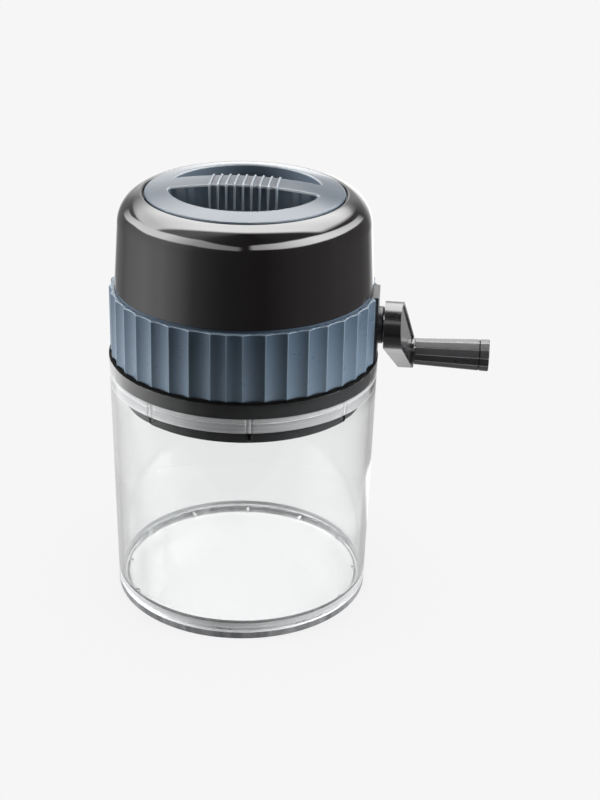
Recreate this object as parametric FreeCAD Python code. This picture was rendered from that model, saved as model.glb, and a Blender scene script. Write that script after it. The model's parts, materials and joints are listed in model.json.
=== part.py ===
import FreeCAD, Part
import math
import os

# Hand-cranked ice crusher: a clear cup, a crushing head that drops into it, a lift-off lid
# and a side crank that turns a toothed rotor between two fixed combs.
# Millimetres. The origin is the centre of the foot ring, +Z is up, the user stands at -Y
# and the crank is on the +X side.

# ---------------------------------------------------------------- driving dimensions
# fits
RUNNING_FIT = 0.05
SEAT_FIT = 0.1
LIFT_FIT = 0.35
END_PLAY = 0.3
CUT_MARGIN = 1.0
TINY = 0.01

# head frame: the collar that drops into the cup leads all the round sizes
COLLAR_RADIUS = 64.0
COLLAR_PROUD = 0.2
COLLAR_STEP = 1.8
SKIRT_STEP = 4.9
SKIRT_DROP = 14.1
FRAME_WALL = 2.4
FRAME_FLOOR = 2.5
SKIRT_LIP = 2.0
LAP_DEPTH = 1.0
LAP_HEIGHT = 3.0
TOWERS = 4
TOWER_INSET = 7.8
TOWER_RADIUS = 5.0
TOWER_DROP = 4.5
TOWER_CAP = 6.0
TOWER_GAP = 1.25

# clear cup
CUP_HEIGHT = 129.3
CUP_FIT = 0.5
CUP_TAPER = 2.3
CUP_WALL = 2.4
CUP_FLOOR = 3.0
CUP_CORNER = 3.0
CUP_RIM_BEVEL = 0.6
FOOT_HEIGHT = 4.0
FOOT_WIDTH = 3.2
FOOT_EDGE = 0.5
FOOT_RIBS = 12
FOOT_RIB_THICKNESS = 1.5
FOOT_RIB_RUN = 3.4
FOOT_RIB_CLEARANCE = 0.6
FOOT_RIB_FIRST_ANGLE = 4.0
LEDGE_DROP = 8.8
LEDGE_THICKNESS = 2.0
LEDGE_CLEARANCE = 0.5
GUSSETS = 8
GUSSET_THICKNESS = 1.5
GUSSET_HEIGHT = 8.0
GUSSET_TOE = 1.2
GUSSET_RISE = 2.0
GUSSET_FIRST_ANGLE = -80.5

# fluted grip ring
RING_HEIGHT = 33.9
RING_THICKNESS = 3.7
RING_FLUTE_DEPTH = 1.3
RING_GAP = 0.7
RING_BEVEL = 0.45
RING_FOOT_BEVEL = 1.8
RING_LIP = 0.7
WIDE_FLUTES = 38
NARROW_FLUTES = 2
NARROW_FLUTE_ANGLE = 6.5

# dome housing
DOME_GAP = 1.1
DOME_OVERHANG = 1.2
DOME_TAPER = 2.0
DOME_SIDE_HEIGHT = 31.8
DOME_SHOULDER_ROUND = 16.0
DOME_WALL = 2.2
BOSS_RADIUS = 4.2

# feed funnel
NECK_INSET = 15.8
NECK_DEPTH = 8.0
FUNNEL_WALL = 2.0
FUNNEL_FLANGE = 3.0
FUNNEL_CORNER_ANGLE = 30.0
SEAT_THICKNESS = 2.0

# lid
LID_OVERLAP = 4.15
LID_GAP = 0.65
LID_RISE = 20.0
LID_CROWN_RADIUS = 217.0
LID_WALL = 2.2
LID_RIM_THICKNESS = 3.4
LID_EDGE_ROUND = 0.9
LID_PLUG_GAP = 1.2
LID_PLUG_DEPTH = 8.0
PIT_INSET = 5.8
PIT_DEPTH = 13.3
PIT_WALL = 1.8
PIT_TIP_ROUND = 1.6
BAR_WIDTH = 16.0
GRIP_RIBS = 9
GRIP_RIB_PITCH = 4.0
GRIP_RIB_WIDTH = 1.2
GRIP_RIB_HEIGHT = 0.8
SEAL_THICKNESS = 1.8
SEAL_DEPTH = 0.9

# crushing chamber
CHAMBER_LENGTH = 72.0
CHAMBER_WALL = 2.5
CHAMBER_HEADROOM = 1.0
CHAMBER_CORNER = 4.0
CHAMBER_FLANGE = 3.0
CHAMBER_SIDE_FLANGE = 1.0
CHAMBER_FLANGE_THICKNESS = 2.0

# rotor
AXIS_RISE = 16.5
SHAFT_RADIUS = 5.0
ROTOR_BLADES = 6
BLADE_PITCH = 10.0
BLADE_THICKNESS = 2.5
BLADE_SIDE_GAP = 4.0
BLADE_ROOT_SHARE = 0.5656
BLADE_TEETH = 5
BLADE_STAGGER = 12.0
BLADE_LAND_ANGLE = 7.0
BLADE_BACK_ANGLE = 40.0
BLADE_HOLLOW = 0.3
SPACER_WALL = 3.0

# fixed combs
COMB_THICKNESS = 2.5
COMB_DROP = 3.0
COMB_FINGER_WIDTH = 4.5
COMB_ROOT = 2.0
COMB_TAB_HEIGHT = 14.0
COMB_TAB_THICKNESS = 2.0
COMB_REACH_GAP = 1.5

# bearings
BUSH_WALL = 3.0
BUSH_FLANGE_WIDTH = 2.0
BUSH_FLANGE = 1.5
BUSH_NOSE = 1.0
BLOCK_SHOULDER = 0.7
BLOCK_PROUD = 0.3
BLOCK_SPIGOT_RADIUS = 8.6
BLOCK_SPIGOT_DEPTH = 2.0
COLLAR_BOSS_RADIUS = 9.2
COLLAR_BOSS_LENGTH = 2.8
COLLAR_BOSS_CHAMFER = 0.6
CLIP_WALL = 3.0
CLIP_THICKNESS = 1.0
CLIP_GROOVE_DEPTH = 0.8
SHAFT_TAIL = 2.0

# crank
CRANK_THROW = 50.0
CRANK_REST_ANGLE = -37.0
HUB_RADIUS = 12.0
HUB_THICKNESS = 9.35
TIP_RADIUS = 8.7
TIP_THICKNESS = 7.55
TIP_OFFSET = 5.0
DRIVE_HEX = 8.6
DRIVE_LENGTH = 5.2
COVER_BORDER = 1.8
COVER_THICKNESS = 1.4
COVER_RECESS = 0.6
COVER_GAP = 0.3
COVER_GROOVE_INSET = 0.9
COVER_GROOVE_WIDTH = 0.5
COVER_GROOVE_DEPTH = 0.5
TIP_BOSS_RADIUS = 7.0
TIP_BOSS_RISE = 0.3

# grip
GRIP_LENGTH = 38.45
GRIP_CAP_LENGTH = 5.0
GRIP_BASE_RADIUS = 7.1
GRIP_END_RADIUS = 8.55
GRIP_END_BEVEL = 0.6
GRIP_SIDES = 12
GRIP_FIRST_CORNER = 18.0
GRIP_PLAY = 0.15
PIN_RADIUS = 3.0
PIN_HEAD_RADIUS = 5.0
PIN_HEAD = 2.5
PIN_THREAD_RADIUS = 2.0
PIN_THREAD_LENGTH = 5.0
WASHER_RADIUS = 6.8
WASHER_THICKNESS = 0.4

# screws
SCREW_RADIUS = 1.5
SCREW_HEAD_RADIUS = 2.9
SCREW_HEAD = 2.2
SCREW_LENGTH = 14.0
COMB_SCREW_LENGTH = 3.6
COMB_SCREW_SPACING = 44.0
CRANK_SCREW_LENGTH = 6.0
CRANK_SCREW_HEAD = 1.1
CRANK_SCREW_SEAT = 0.5

# ---------------------------------------------------------------- worked-out sizes and places
FRAME_RADIUS = COLLAR_RADIUS - COLLAR_STEP
FRAME_INNER_RADIUS = FRAME_RADIUS - FRAME_WALL
SKIRT_RADIUS = COLLAR_RADIUS - SKIRT_STEP
LAP_RADIUS = FRAME_RADIUS - LAP_DEPTH
TOWER_CIRCLE = FRAME_INNER_RADIUS - TOWER_INSET
CUP_RIM_RADIUS = COLLAR_RADIUS + CUP_FIT + CUP_WALL
CUP_BASE_RADIUS = CUP_RIM_RADIUS - CUP_TAPER
LEDGE_RADIUS = SKIRT_RADIUS + LEDGE_CLEARANCE
RING_INNER_RADIUS = FRAME_RADIUS + SEAT_FIT
RING_RIDGE_RADIUS = RING_INNER_RADIUS + RING_THICKNESS
DOME_BOTTOM_RADIUS = FRAME_RADIUS + DOME_OVERHANG
DOME_SHOULDER_RADIUS = DOME_BOTTOM_RADIUS - DOME_TAPER
NECK_RADIUS = FRAME_INNER_RADIUS - NECK_INSET
LID_RADIUS = NECK_RADIUS + LID_OVERLAP
LID_PLUG_RADIUS = NECK_RADIUS - LID_PLUG_GAP
PIT_RADIUS = LID_PLUG_RADIUS - PIT_INSET
DOME_MOUTH_RADIUS = LID_RADIUS + LID_GAP

LEDGE_Z = CUP_HEIGHT - LEDGE_DROP
SKIRT_BOTTOM_Z = LEDGE_Z - SKIRT_DROP
FLOOR_Z = SKIRT_BOTTOM_Z + SKIRT_LIP
FLOOR_TOP_Z = FLOOR_Z + FRAME_FLOOR
COLLAR_TOP_Z = CUP_HEIGHT + COLLAR_PROUD
RING_TOP_Z = COLLAR_TOP_Z + RING_HEIGHT
DOME_BOTTOM_Z = RING_TOP_Z + DOME_GAP
DOME_SHOULDER_Z = DOME_BOTTOM_Z + DOME_SIDE_HEIGHT
TOWER_TOP_Z = DOME_BOTTOM_Z - TOWER_DROP
LID_TOP_Z = DOME_SHOULDER_Z + LID_RISE
LID_SEAT_Z = LID_TOP_Z - LID_RADIUS ** 2 / (2 * LID_CROWN_RADIUS) - LID_RIM_THICKNESS
SEAT_UNDER_Z = LID_SEAT_Z - SEAT_THICKNESS
PIT_FLOOR_Z = LID_TOP_Z - PIT_DEPTH

TOWER_Y = TOWER_CIRCLE * math.sin(math.pi / TOWERS)
HALF_LENGTH = CHAMBER_LENGTH / 2
HALF_WIDTH = TOWER_Y - TOWER_RADIUS - TOWER_GAP - CHAMBER_SIDE_FLANGE - CHAMBER_WALL
AXIS_Z = COLLAR_TOP_Z + AXIS_RISE
BLADE_TIP_RADIUS = HALF_WIDTH - BLADE_SIDE_GAP
BLADE_ROOT_RADIUS = BLADE_ROOT_SHARE * BLADE_TIP_RADIUS
CHAMBER_TOP_Z = AXIS_Z + BLADE_TIP_RADIUS + CHAMBER_HEADROOM
SHAFT_HEX = 2 * SHAFT_RADIUS
SPACER_RADIUS = SHAFT_RADIUS + SPACER_WALL
ROTOR_HALF = (ROTOR_BLADES - 1) * BLADE_PITCH / 2 + BLADE_THICKNESS / 2
COMB_Z = AXIS_Z - COMB_DROP - COMB_THICKNESS

BUSH_RADIUS = SHAFT_RADIUS + BUSH_WALL
BUSH_FLANGE_RADIUS = BUSH_RADIUS + BUSH_FLANGE_WIDTH
BUSH_FACE_X = HALF_LENGTH - BUSH_FLANGE
BUSH_END_X = HALF_LENGTH + CHAMBER_WALL + BUSH_NOSE
CLIP_X = -BUSH_END_X - END_PLAY - CLIP_THICKNESS
CLIP_BORE_RADIUS = SHAFT_RADIUS - CLIP_GROOVE_DEPTH + RUNNING_FIT
BLOCK_HALF_WIDTH = BLOCK_SPIGOT_RADIUS + BLOCK_SHOULDER
BLOCK_FACE_X = RING_RIDGE_RADIUS + BLOCK_PROUD
BOSS_END_X = BLOCK_FACE_X + COLLAR_BOSS_LENGTH
CRANK_FACE_X = BOSS_END_X + END_PLAY
HUB_OUT_X = CRANK_FACE_X + HUB_THICKNESS
TIP_OUT_X = HUB_OUT_X + TIP_OFFSET
TIP_SLOPE = TIP_OFFSET / CRANK_THROW
GRIP_BASE_X = TIP_OUT_X + TIP_BOSS_RISE + WASHER_THICKNESS + GRIP_PLAY
GRIP_END_X = GRIP_BASE_X + GRIP_LENGTH

X_AXIS = FreeCAD.Vector(1, 0, 0)
Z_AXIS = FreeCAD.Vector(0, 0, 1)
SPIN_CENTRE = FreeCAD.Vector(0, 0, AXIS_Z)


# ---------------------------------------------------------------- helpers
def vec(x, y, z):
    return FreeCAD.Vector(x, y, z)


def turned_wire(points):
    """Closed wire in the XZ plane. A point given as (r, z, "arc") is the middle of an arc."""
    edges = []
    count = len(points)
    index = 0
    while index < count:
        start = points[index]
        after = points[(index + 1) % count]
        if len(after) == 3:
            end = points[(index + 2) % count]
            arc = Part.Arc(vec(start[0], 0, start[1]), vec(after[0], 0, after[1]), vec(end[0], 0, end[1]))
            edges.append(arc.toShape())
            index += 2
        else:
            edges.append(Part.makeLine(vec(start[0], 0, start[1]), vec(after[0], 0, after[1])))
            index += 1
    return Part.Wire(edges)


def turned(points):
    """Solid of revolution about Z from a profile of (radius, height) points."""
    return Part.Face(turned_wire(points)).revolve(vec(0, 0, 0), Z_AXIS, 360)


def drum(radius, low, high, x=0.0, y=0.0):
    return Part.makeCylinder(radius, high - low, vec(x, y, low))


def bar_x(radius, x_low, x_high, y=0.0, z=AXIS_Z):
    """Round bar along X."""
    return Part.makeCylinder(radius, x_high - x_low, vec(x_low, y, z), X_AXIS)


def block(x_low, x_high, y_low, y_high, z_low, z_high):
    return Part.makeBox(x_high - x_low, y_high - y_low, z_high - z_low, vec(x_low, y_low, z_low))


def hexagon_x(across_flats, x_low, x_high):
    """Hexagonal bar along X on the rotor axis."""
    corner = across_flats / math.sqrt(3)
    points = []
    for index in range(7):
        angle = math.radians(60 * index)
        points.append(vec(x_low, corner * math.cos(angle), AXIS_Z + corner * math.sin(angle)))
    return Part.Face(Part.makePolygon(points)).extrude(vec(x_high - x_low, 0, 0))


def around_z(shape, count, first_angle=0.0):
    copies = []
    for index in range(count):
        copy = shape.copy()
        copy.rotate(vec(0, 0, 0), Z_AXIS, first_angle + 360.0 * index / count)
        copies.append(copy)
    return copies


def rounded_rectangle(half_x, half_y, radius, z):
    """Closed wire of four straight sides and four corner arcs."""
    diagonal = radius * (1 - math.sqrt(0.5))
    edges = []
    for sx, sy in ((1, 1), (-1, 1), (-1, -1), (1, -1)):
        along_x = vec(sx * (half_x - radius), sy * half_y, z)
        along_y = vec(sx * half_x, sy * (half_y - radius), z)
        middle = vec(sx * (half_x - diagonal), sy * (half_y - diagonal), z)
        first, last = (along_y, along_x) if sx * sy > 0 else (along_x, along_y)
        if edges:
            edges.append(Part.makeLine(edges[-1].Vertexes[-1].Point, first))
        edges.append(Part.Arc(first, middle, last).toShape())
    edges.append(Part.makeLine(edges[-1].Vertexes[-1].Point, edges[0].Vertexes[0].Point))
    return Part.Wire(edges)


def split_circle(radius, corner_angle, z):
    """Circle cut into eight arcs that face the edges of a rounded rectangle."""
    eighth = math.pi / 4
    half = corner_angle / 2
    edges = []
    for quarter in range(4):
        middle = (2 * quarter + 1) * eighth
        for centre, spread in ((middle, half), (middle + eighth, eighth - half)):
            ends = (centre - spread, centre, centre + spread)
            points = [vec(radius * math.cos(angle), radius * math.sin(angle), z) for angle in ends]
            edges.append(Part.Arc(*points).toShape())
    return Part.Wire(edges)


def prism_box(half_x, half_y, radius, low, high):
    face = Part.Face(rounded_rectangle(half_x, half_y, radius, low))
    return face.extrude(vec(0, 0, high - low))


def crank_placed(shape):
    """Turns a shape drawn with its arm along +Y about the rotor axis to the rest angle."""
    shape.rotate(SPIN_CENTRE, X_AXIS, CRANK_REST_ANGLE)
    return shape


# ---------------------------------------------------------------- cup
def cup_outer(height):
    slope = CUP_TAPER / CUP_HEIGHT
    return CUP_BASE_RADIUS + slope * height


def cup_inner(height):
    return cup_outer(height) - CUP_WALL


def make_cup():
    floor_z = FOOT_HEIGHT + CUP_FLOOR
    rim_z = CUP_HEIGHT - CUP_RIM_BEVEL
    ledge_under = LEDGE_Z - LEDGE_THICKNESS
    bend = CUP_CORNER * (1 - math.sqrt(0.5))
    foot_inner = CUP_BASE_RADIUS - FOOT_WIDTH
    cup = turned([
        (0, FOOT_HEIGHT),
        (foot_inner, FOOT_HEIGHT),
        (foot_inner, 0),
        (CUP_BASE_RADIUS - FOOT_EDGE, 0),
        (cup_outer(FOOT_EDGE), FOOT_EDGE),
        (cup_outer(rim_z), rim_z),
        (cup_outer(CUP_HEIGHT) - CUP_RIM_BEVEL, CUP_HEIGHT),
        (cup_inner(CUP_HEIGHT) + CUP_RIM_BEVEL, CUP_HEIGHT),
        (cup_inner(rim_z), rim_z),
        (cup_inner(LEDGE_Z), LEDGE_Z),
        (LEDGE_RADIUS, LEDGE_Z),
        (LEDGE_RADIUS, ledge_under),
        (cup_inner(ledge_under), ledge_under),
        (cup_inner(floor_z + CUP_CORNER), floor_z + CUP_CORNER),
        (cup_inner(floor_z) - bend, floor_z + bend),
        (cup_inner(floor_z) - CUP_CORNER, floor_z),
        (0, floor_z),
    ])
    low_z = ledge_under - GUSSET_HEIGHT
    gusset_wire = Part.makePolygon([
        vec(LEDGE_RADIUS, -GUSSET_THICKNESS / 2, ledge_under),
        vec(cup_outer(ledge_under) - CUP_WALL / 2, -GUSSET_THICKNESS / 2, ledge_under),
        vec(cup_outer(low_z) - CUP_WALL / 2, -GUSSET_THICKNESS / 2, low_z),
        vec(cup_inner(low_z) - GUSSET_TOE, -GUSSET_THICKNESS / 2, low_z),
        vec(LEDGE_RADIUS, -GUSSET_THICKNESS / 2, low_z + GUSSET_RISE),
        vec(LEDGE_RADIUS, -GUSSET_THICKNESS / 2, ledge_under),
    ])
    gusset = Part.Face(gusset_wire).extrude(vec(0, GUSSET_THICKNESS, 0))
    cup = cup.fuse(around_z(gusset, GUSSETS, GUSSET_FIRST_ANGLE))
    foot_middle = foot_inner + FOOT_WIDTH / 2
    floor_middle = FOOT_HEIGHT + CUP_FLOOR / 2
    rib_wire = Part.makePolygon([
        vec(foot_middle, -FOOT_RIB_THICKNESS / 2, FOOT_RIB_CLEARANCE),
        vec(foot_inner, -FOOT_RIB_THICKNESS / 2, FOOT_RIB_CLEARANCE),
        vec(foot_inner - FOOT_RIB_RUN, -FOOT_RIB_THICKNESS / 2, FOOT_HEIGHT),
        vec(foot_inner - FOOT_RIB_RUN, -FOOT_RIB_THICKNESS / 2, floor_middle),
        vec(foot_middle, -FOOT_RIB_THICKNESS / 2, floor_middle),
        vec(foot_middle, -FOOT_RIB_THICKNESS / 2, FOOT_RIB_CLEARANCE),
    ])
    rib = Part.Face(rib_wire).extrude(vec(0, FOOT_RIB_THICKNESS, 0))
    return cup.fuse(around_z(rib, FOOT_RIBS, FOOT_RIB_FIRST_ANGLE)).removeSplitter()


# ---------------------------------------------------------------- head frame
def tower_places():
    step = 360.0 / TOWERS
    places = []
    for index in range(TOWERS):
        angle = math.radians(step * (index + 0.5))
        places.append((TOWER_CIRCLE * math.cos(angle), TOWER_CIRCLE * math.sin(angle)))
    return places


def make_head_frame():
    skirt_inner = SKIRT_RADIUS - FRAME_WALL
    collar_inner = COLLAR_RADIUS - FRAME_WALL
    frame = turned([
        (0, FLOOR_Z),
        (skirt_inner, FLOOR_Z),
        (skirt_inner, SKIRT_BOTTOM_Z),
        (SKIRT_RADIUS, SKIRT_BOTTOM_Z),
        (SKIRT_RADIUS, LEDGE_Z),
        (COLLAR_RADIUS, LEDGE_Z),
        (COLLAR_RADIUS, COLLAR_TOP_Z),
        (FRAME_RADIUS, COLLAR_TOP_Z),
        (FRAME_RADIUS, DOME_BOTTOM_Z),
        (LAP_RADIUS, DOME_BOTTOM_Z),
        (LAP_RADIUS, DOME_BOTTOM_Z + LAP_HEIGHT),
        (FRAME_INNER_RADIUS, DOME_BOTTOM_Z + LAP_HEIGHT),
        (FRAME_INNER_RADIUS, COLLAR_TOP_Z - FRAME_WALL),
        (collar_inner, COLLAR_TOP_Z - FRAME_WALL),
        (collar_inner, LEDGE_Z + FRAME_WALL),
        (skirt_inner, LEDGE_Z + FRAME_WALL),
        (skirt_inner, FLOOR_TOP_Z),
        (0, FLOOR_TOP_Z),
    ])
    inside = drum(FRAME_INNER_RADIUS, FLOOR_Z, TOWER_TOP_Z)
    towers = []
    bores = []
    for x, y in tower_places():
        towers.append(drum(TOWER_RADIUS, FLOOR_Z, TOWER_TOP_Z, x, y).common(inside))
        bores.append(drum(SCREW_RADIUS + SEAT_FIT, FLOOR_Z, TOWER_TOP_Z, x, y))
        bores.append(drum(SCREW_HEAD_RADIUS + SEAT_FIT, FLOOR_Z, TOWER_TOP_Z - TOWER_CAP, x, y))
    frame = frame.fuse(towers).cut(bores)
    mouth = prism_box(HALF_LENGTH + CHAMBER_WALL + SEAT_FIT, HALF_WIDTH + CHAMBER_WALL + SEAT_FIT,
                      CHAMBER_CORNER + CHAMBER_WALL, FLOOR_Z, FLOOR_TOP_Z)
    spigot_hole = bar_x(BLOCK_SPIGOT_RADIUS + SEAT_FIT, FRAME_INNER_RADIUS - BLOCK_SPIGOT_RADIUS,
                        RING_RIDGE_RADIUS)
    return frame.cut([mouth, spigot_hole]).removeSplitter()


# ---------------------------------------------------------------- fluted ring
def make_grip_ring():
    wide_angle = (360.0 - NARROW_FLUTES * NARROW_FLUTE_ANGLE) / WIDE_FLUTES
    angle = -90.0 - NARROW_FLUTE_ANGLE * NARROW_FLUTES / 2
    edges = []
    for index in range(NARROW_FLUTES + WIDE_FLUTES):
        width = NARROW_FLUTE_ANGLE if index < NARROW_FLUTES else wide_angle
        depth = RING_FLUTE_DEPTH * (width / wide_angle) ** 2
        stops = [math.radians(angle), math.radians(angle + width / 2), math.radians(angle + width)]
        radii = [RING_RIDGE_RADIUS, RING_RIDGE_RADIUS - depth, RING_RIDGE_RADIUS]
        points = [vec(r * math.cos(a), r * math.sin(a), COLLAR_TOP_Z) for r, a in zip(radii, stops)]
        edges.append(Part.Arc(*points).toShape())
        angle += width
    low = COLLAR_TOP_Z
    fluted = Part.Face(Part.Wire(edges)).extrude(vec(0, 0, DOME_BOTTOM_Z - low))
    past = RING_RIDGE_RADIUS + RING_FOOT_BEVEL
    lip = RING_INNER_RADIUS + RING_LIP
    envelope = turned([
        (RING_INNER_RADIUS, low),
        (lip, low),
        (lip, low + RING_GAP),
        (RING_RIDGE_RADIUS - RING_GAP, low + RING_GAP),
        (past, low + RING_FOOT_BEVEL + 2 * RING_GAP),
        (past, RING_TOP_Z),
        (lip, RING_TOP_Z),
        (lip, DOME_BOTTOM_Z),
        (RING_INNER_RADIUS, DOME_BOTTOM_Z),
    ])
    half_gap = BLOCK_HALF_WIDTH + SEAT_FIT
    block_gap = block(RING_INNER_RADIUS / 2, past, -half_gap, half_gap, low, DOME_BOTTOM_Z)
    ring = fluted.common(envelope)
    flute_floor = RING_RIDGE_RADIUS - RING_FLUTE_DEPTH - RING_GAP
    rim = []
    for edge in ring.Edges:
        middle = edge.valueAt((edge.FirstParameter + edge.LastParameter) / 2)
        if abs(middle.z - RING_TOP_Z) < TINY and math.hypot(middle.x, middle.y) > flute_floor:
            rim.append(edge)
    return ring.makeChamfer(RING_BEVEL, rim).cut(block_gap)


# ---------------------------------------------------------------- dome housing
def shoulder_points(inset):
    """Start, middle and end of the shoulder arc; an inset arc ends outside the mouth's wall."""
    lean = math.atan2(DOME_TAPER, DOME_SIDE_HEIGHT)
    centre_r = DOME_SHOULDER_RADIUS - DOME_SHOULDER_ROUND * math.cos(lean)
    centre_z = DOME_SHOULDER_Z - DOME_SHOULDER_ROUND * math.sin(lean)
    reach = DOME_SHOULDER_ROUND - inset
    top_angle = math.acos((DOME_MOUTH_RADIUS + inset - centre_r) / reach)
    points = []
    for angle in (lean, (lean + top_angle) / 2, top_angle):
        points.append((centre_r + reach * math.cos(angle), centre_z + reach * math.sin(angle)))
    return points


def make_dome():
    outer = shoulder_points(0)
    inner = shoulder_points(DOME_WALL)
    slope = DOME_TAPER / DOME_SIDE_HEIGHT
    lap_z = DOME_BOTTOM_Z + LAP_HEIGHT + SEAT_FIT
    inner_at_lap = DOME_BOTTOM_RADIUS - slope * (lap_z - DOME_BOTTOM_Z) - DOME_WALL
    lap_inner = LAP_RADIUS + SEAT_FIT
    dome = turned([
        (lap_inner, DOME_BOTTOM_Z),
        (DOME_BOTTOM_RADIUS, DOME_BOTTOM_Z),
        outer[0],
        outer[1] + ("arc",),
        outer[2],
        (DOME_MOUTH_RADIUS, LID_SEAT_Z),
        (NECK_RADIUS, LID_SEAT_Z),
        (NECK_RADIUS, SEAT_UNDER_Z),
        (inner[2][0], SEAT_UNDER_Z),
        inner[2],
        inner[1],
        inner[0],
        (min(inner_at_lap, lap_inner), lap_z),
        (lap_inner, lap_z),
    ])
    half_wall = shoulder_points(DOME_WALL / 2)
    boss_space = turned([
        (DOME_MOUTH_RADIUS + DOME_WALL / 2, SEAT_UNDER_Z),
        (NECK_RADIUS + FUNNEL_FLANGE + SEAT_FIT, SEAT_UNDER_Z),
        (NECK_RADIUS + FUNNEL_FLANGE + SEAT_FIT, TOWER_TOP_Z),
        (lap_inner - SEAT_FIT, TOWER_TOP_Z),
        (half_wall[0][0] - DOME_WALL / 2, half_wall[0][1]),
        half_wall[1] + ("arc",),
        half_wall[2],
    ])
    bosses = []
    bores = []
    for x, y in tower_places():
        bosses.append(drum(BOSS_RADIUS, TOWER_TOP_Z, outer[2][1], x, y).common(boss_space))
        bores.append(drum(SCREW_RADIUS + RUNNING_FIT, TOWER_TOP_Z, TOWER_TOP_Z + SCREW_LENGTH, x, y))
    return dome.fuse(bosses).cut(bores).removeSplitter()


# ---------------------------------------------------------------- lid
def crown_z(radius):
    return LID_TOP_Z - radius ** 2 / (2 * LID_CROWN_RADIUS)


def under_crown(drop, radius, low):
    """Solid below the lid's crowned top, lowered by a wall."""
    return turned([
        (0, low),
        (radius, low),
        (radius, crown_z(radius) - drop),
        (radius / 2, crown_z(radius / 2) - drop, "arc"),
        (0, LID_TOP_Z - drop),
    ])


def segment(radius, half_bar, side, low, high, tip_round):
    """The part of a round disc that lies beyond the finger bar on one side, with rounded tips."""
    disc = drum(radius, low, high)
    reach = radius + CUT_MARGIN
    near, far = sorted((side * half_bar, side * reach))
    slice_shape = disc.common(block(-reach, reach, near, far, low, high))
    tips = []
    for edge in slice_shape.Edges:
        ends = [vertex.Point for vertex in edge.Vertexes]
        upright = len(ends) == 2 and abs(ends[0].x - ends[1].x) + abs(ends[0].y - ends[1].y) < TINY
        if upright and abs(ends[0].y - side * half_bar) < TINY:
            tips.append(edge)
    return slice_shape.makeFillet(tip_round, tips)


def make_lid_cap():
    edge = LID_RADIUS - LID_EDGE_ROUND
    rim_z = crown_z(LID_RADIUS)
    plug_inner = LID_PLUG_RADIUS - LID_WALL
    low = LID_SEAT_Z - LID_PLUG_DEPTH
    groove_z = LID_SEAT_Z - LID_PLUG_DEPTH / 2
    bend = LID_EDGE_ROUND * math.sqrt(0.5)
    cap = turned([
        (0, LID_TOP_Z - LID_WALL),
        (plug_inner / 2, crown_z(plug_inner / 2) - LID_WALL),
        (plug_inner, crown_z(plug_inner) - LID_WALL),
        (plug_inner, low),
        (LID_PLUG_RADIUS, low),
        (LID_PLUG_RADIUS, groove_z - SEAL_THICKNESS / 2),
        (LID_PLUG_RADIUS - SEAL_DEPTH, groove_z - SEAL_THICKNESS / 2),
        (LID_PLUG_RADIUS - SEAL_DEPTH, groove_z + SEAL_THICKNESS / 2),
        (LID_PLUG_RADIUS, groove_z + SEAL_THICKNESS / 2),
        (LID_PLUG_RADIUS, LID_SEAT_Z),
        (LID_RADIUS, LID_SEAT_Z),
        (LID_RADIUS, rim_z - LID_EDGE_ROUND),
        (edge + bend, rim_z - LID_EDGE_ROUND + bend, "arc"),
        (edge, crown_z(edge)),
        (edge / 2, crown_z(edge / 2), "arc"),
        (0, LID_TOP_Z),
    ])
    half_bar = BAR_WIDTH / 2
    top = under_crown(0, edge, PIT_FLOOR_Z - PIT_WALL)
    tubs = []
    pits = []
    for side in (-1, 1):
        tub = segment(PIT_RADIUS + PIT_WALL, half_bar - PIT_WALL, side, PIT_FLOOR_Z - PIT_WALL, LID_TOP_Z,
                      PIT_TIP_ROUND + PIT_WALL)
        tubs.append(tub.common(top))
        pits.append(segment(PIT_RADIUS, half_bar, side, PIT_FLOOR_Z, LID_TOP_Z + CUT_MARGIN, PIT_TIP_ROUND))
    cap = cap.fuse(tubs).cut(pits)
    ribs = []
    inner_half = half_bar - PIT_WALL / 2
    outer_half = half_bar + GRIP_RIB_HEIGHT
    for index in range(GRIP_RIBS):
        x = (index - (GRIP_RIBS - 1) / 2) * GRIP_RIB_PITCH
        rib_top = crown_z(abs(x)) + GRIP_RIB_HEIGHT
        x_low = x - GRIP_RIB_WIDTH / 2
        rib = block(x_low, x_low + GRIP_RIB_WIDTH, -outer_half, outer_half,
                    PIT_FLOOR_Z - PIT_WALL / 2, rib_top)
        corners = [edge for edge in rib.Edges if edge.CenterOfMass.z > rib_top - TINY and
                   abs(edge.CenterOfMass.y) > outer_half - TINY]
        rib = rib.makeFillet(GRIP_RIB_HEIGHT, corners)
        hollow = block(x_low, x_low + GRIP_RIB_WIDTH, -inner_half, inner_half,
                       PIT_FLOOR_Z - PIT_WALL, rib_top - GRIP_RIB_HEIGHT - LID_WALL / 2)
        ribs.append(rib.cut(hollow))
    return cap.fuse(ribs).removeSplitter()


def make_lid_seal():
    groove_z = LID_SEAT_Z - LID_PLUG_DEPTH / 2
    half = SEAL_THICKNESS / 2 - RUNNING_FIT
    inner = LID_PLUG_RADIUS - SEAL_DEPTH + RUNNING_FIT
    outer = NECK_RADIUS - LIFT_FIT
    return turned([
        (inner, groove_z - half),
        (LID_PLUG_RADIUS, groove_z - half),
        (outer, groove_z - half / 2),
        (outer, groove_z + half / 2),
        (LID_PLUG_RADIUS, groove_z + half),
        (inner, groove_z + half),
    ])


# ---------------------------------------------------------------- feed funnel and chamber
def funnel_loft(grow, low, high):
    corner = CHAMBER_CORNER + grow
    rectangle = rounded_rectangle(HALF_LENGTH + grow, HALF_WIDTH + grow, corner, low)
    circle = split_circle(NECK_RADIUS + grow, math.radians(FUNNEL_CORNER_ANGLE), high)
    return Part.makeLoft([rectangle, circle], True, True)


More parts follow.
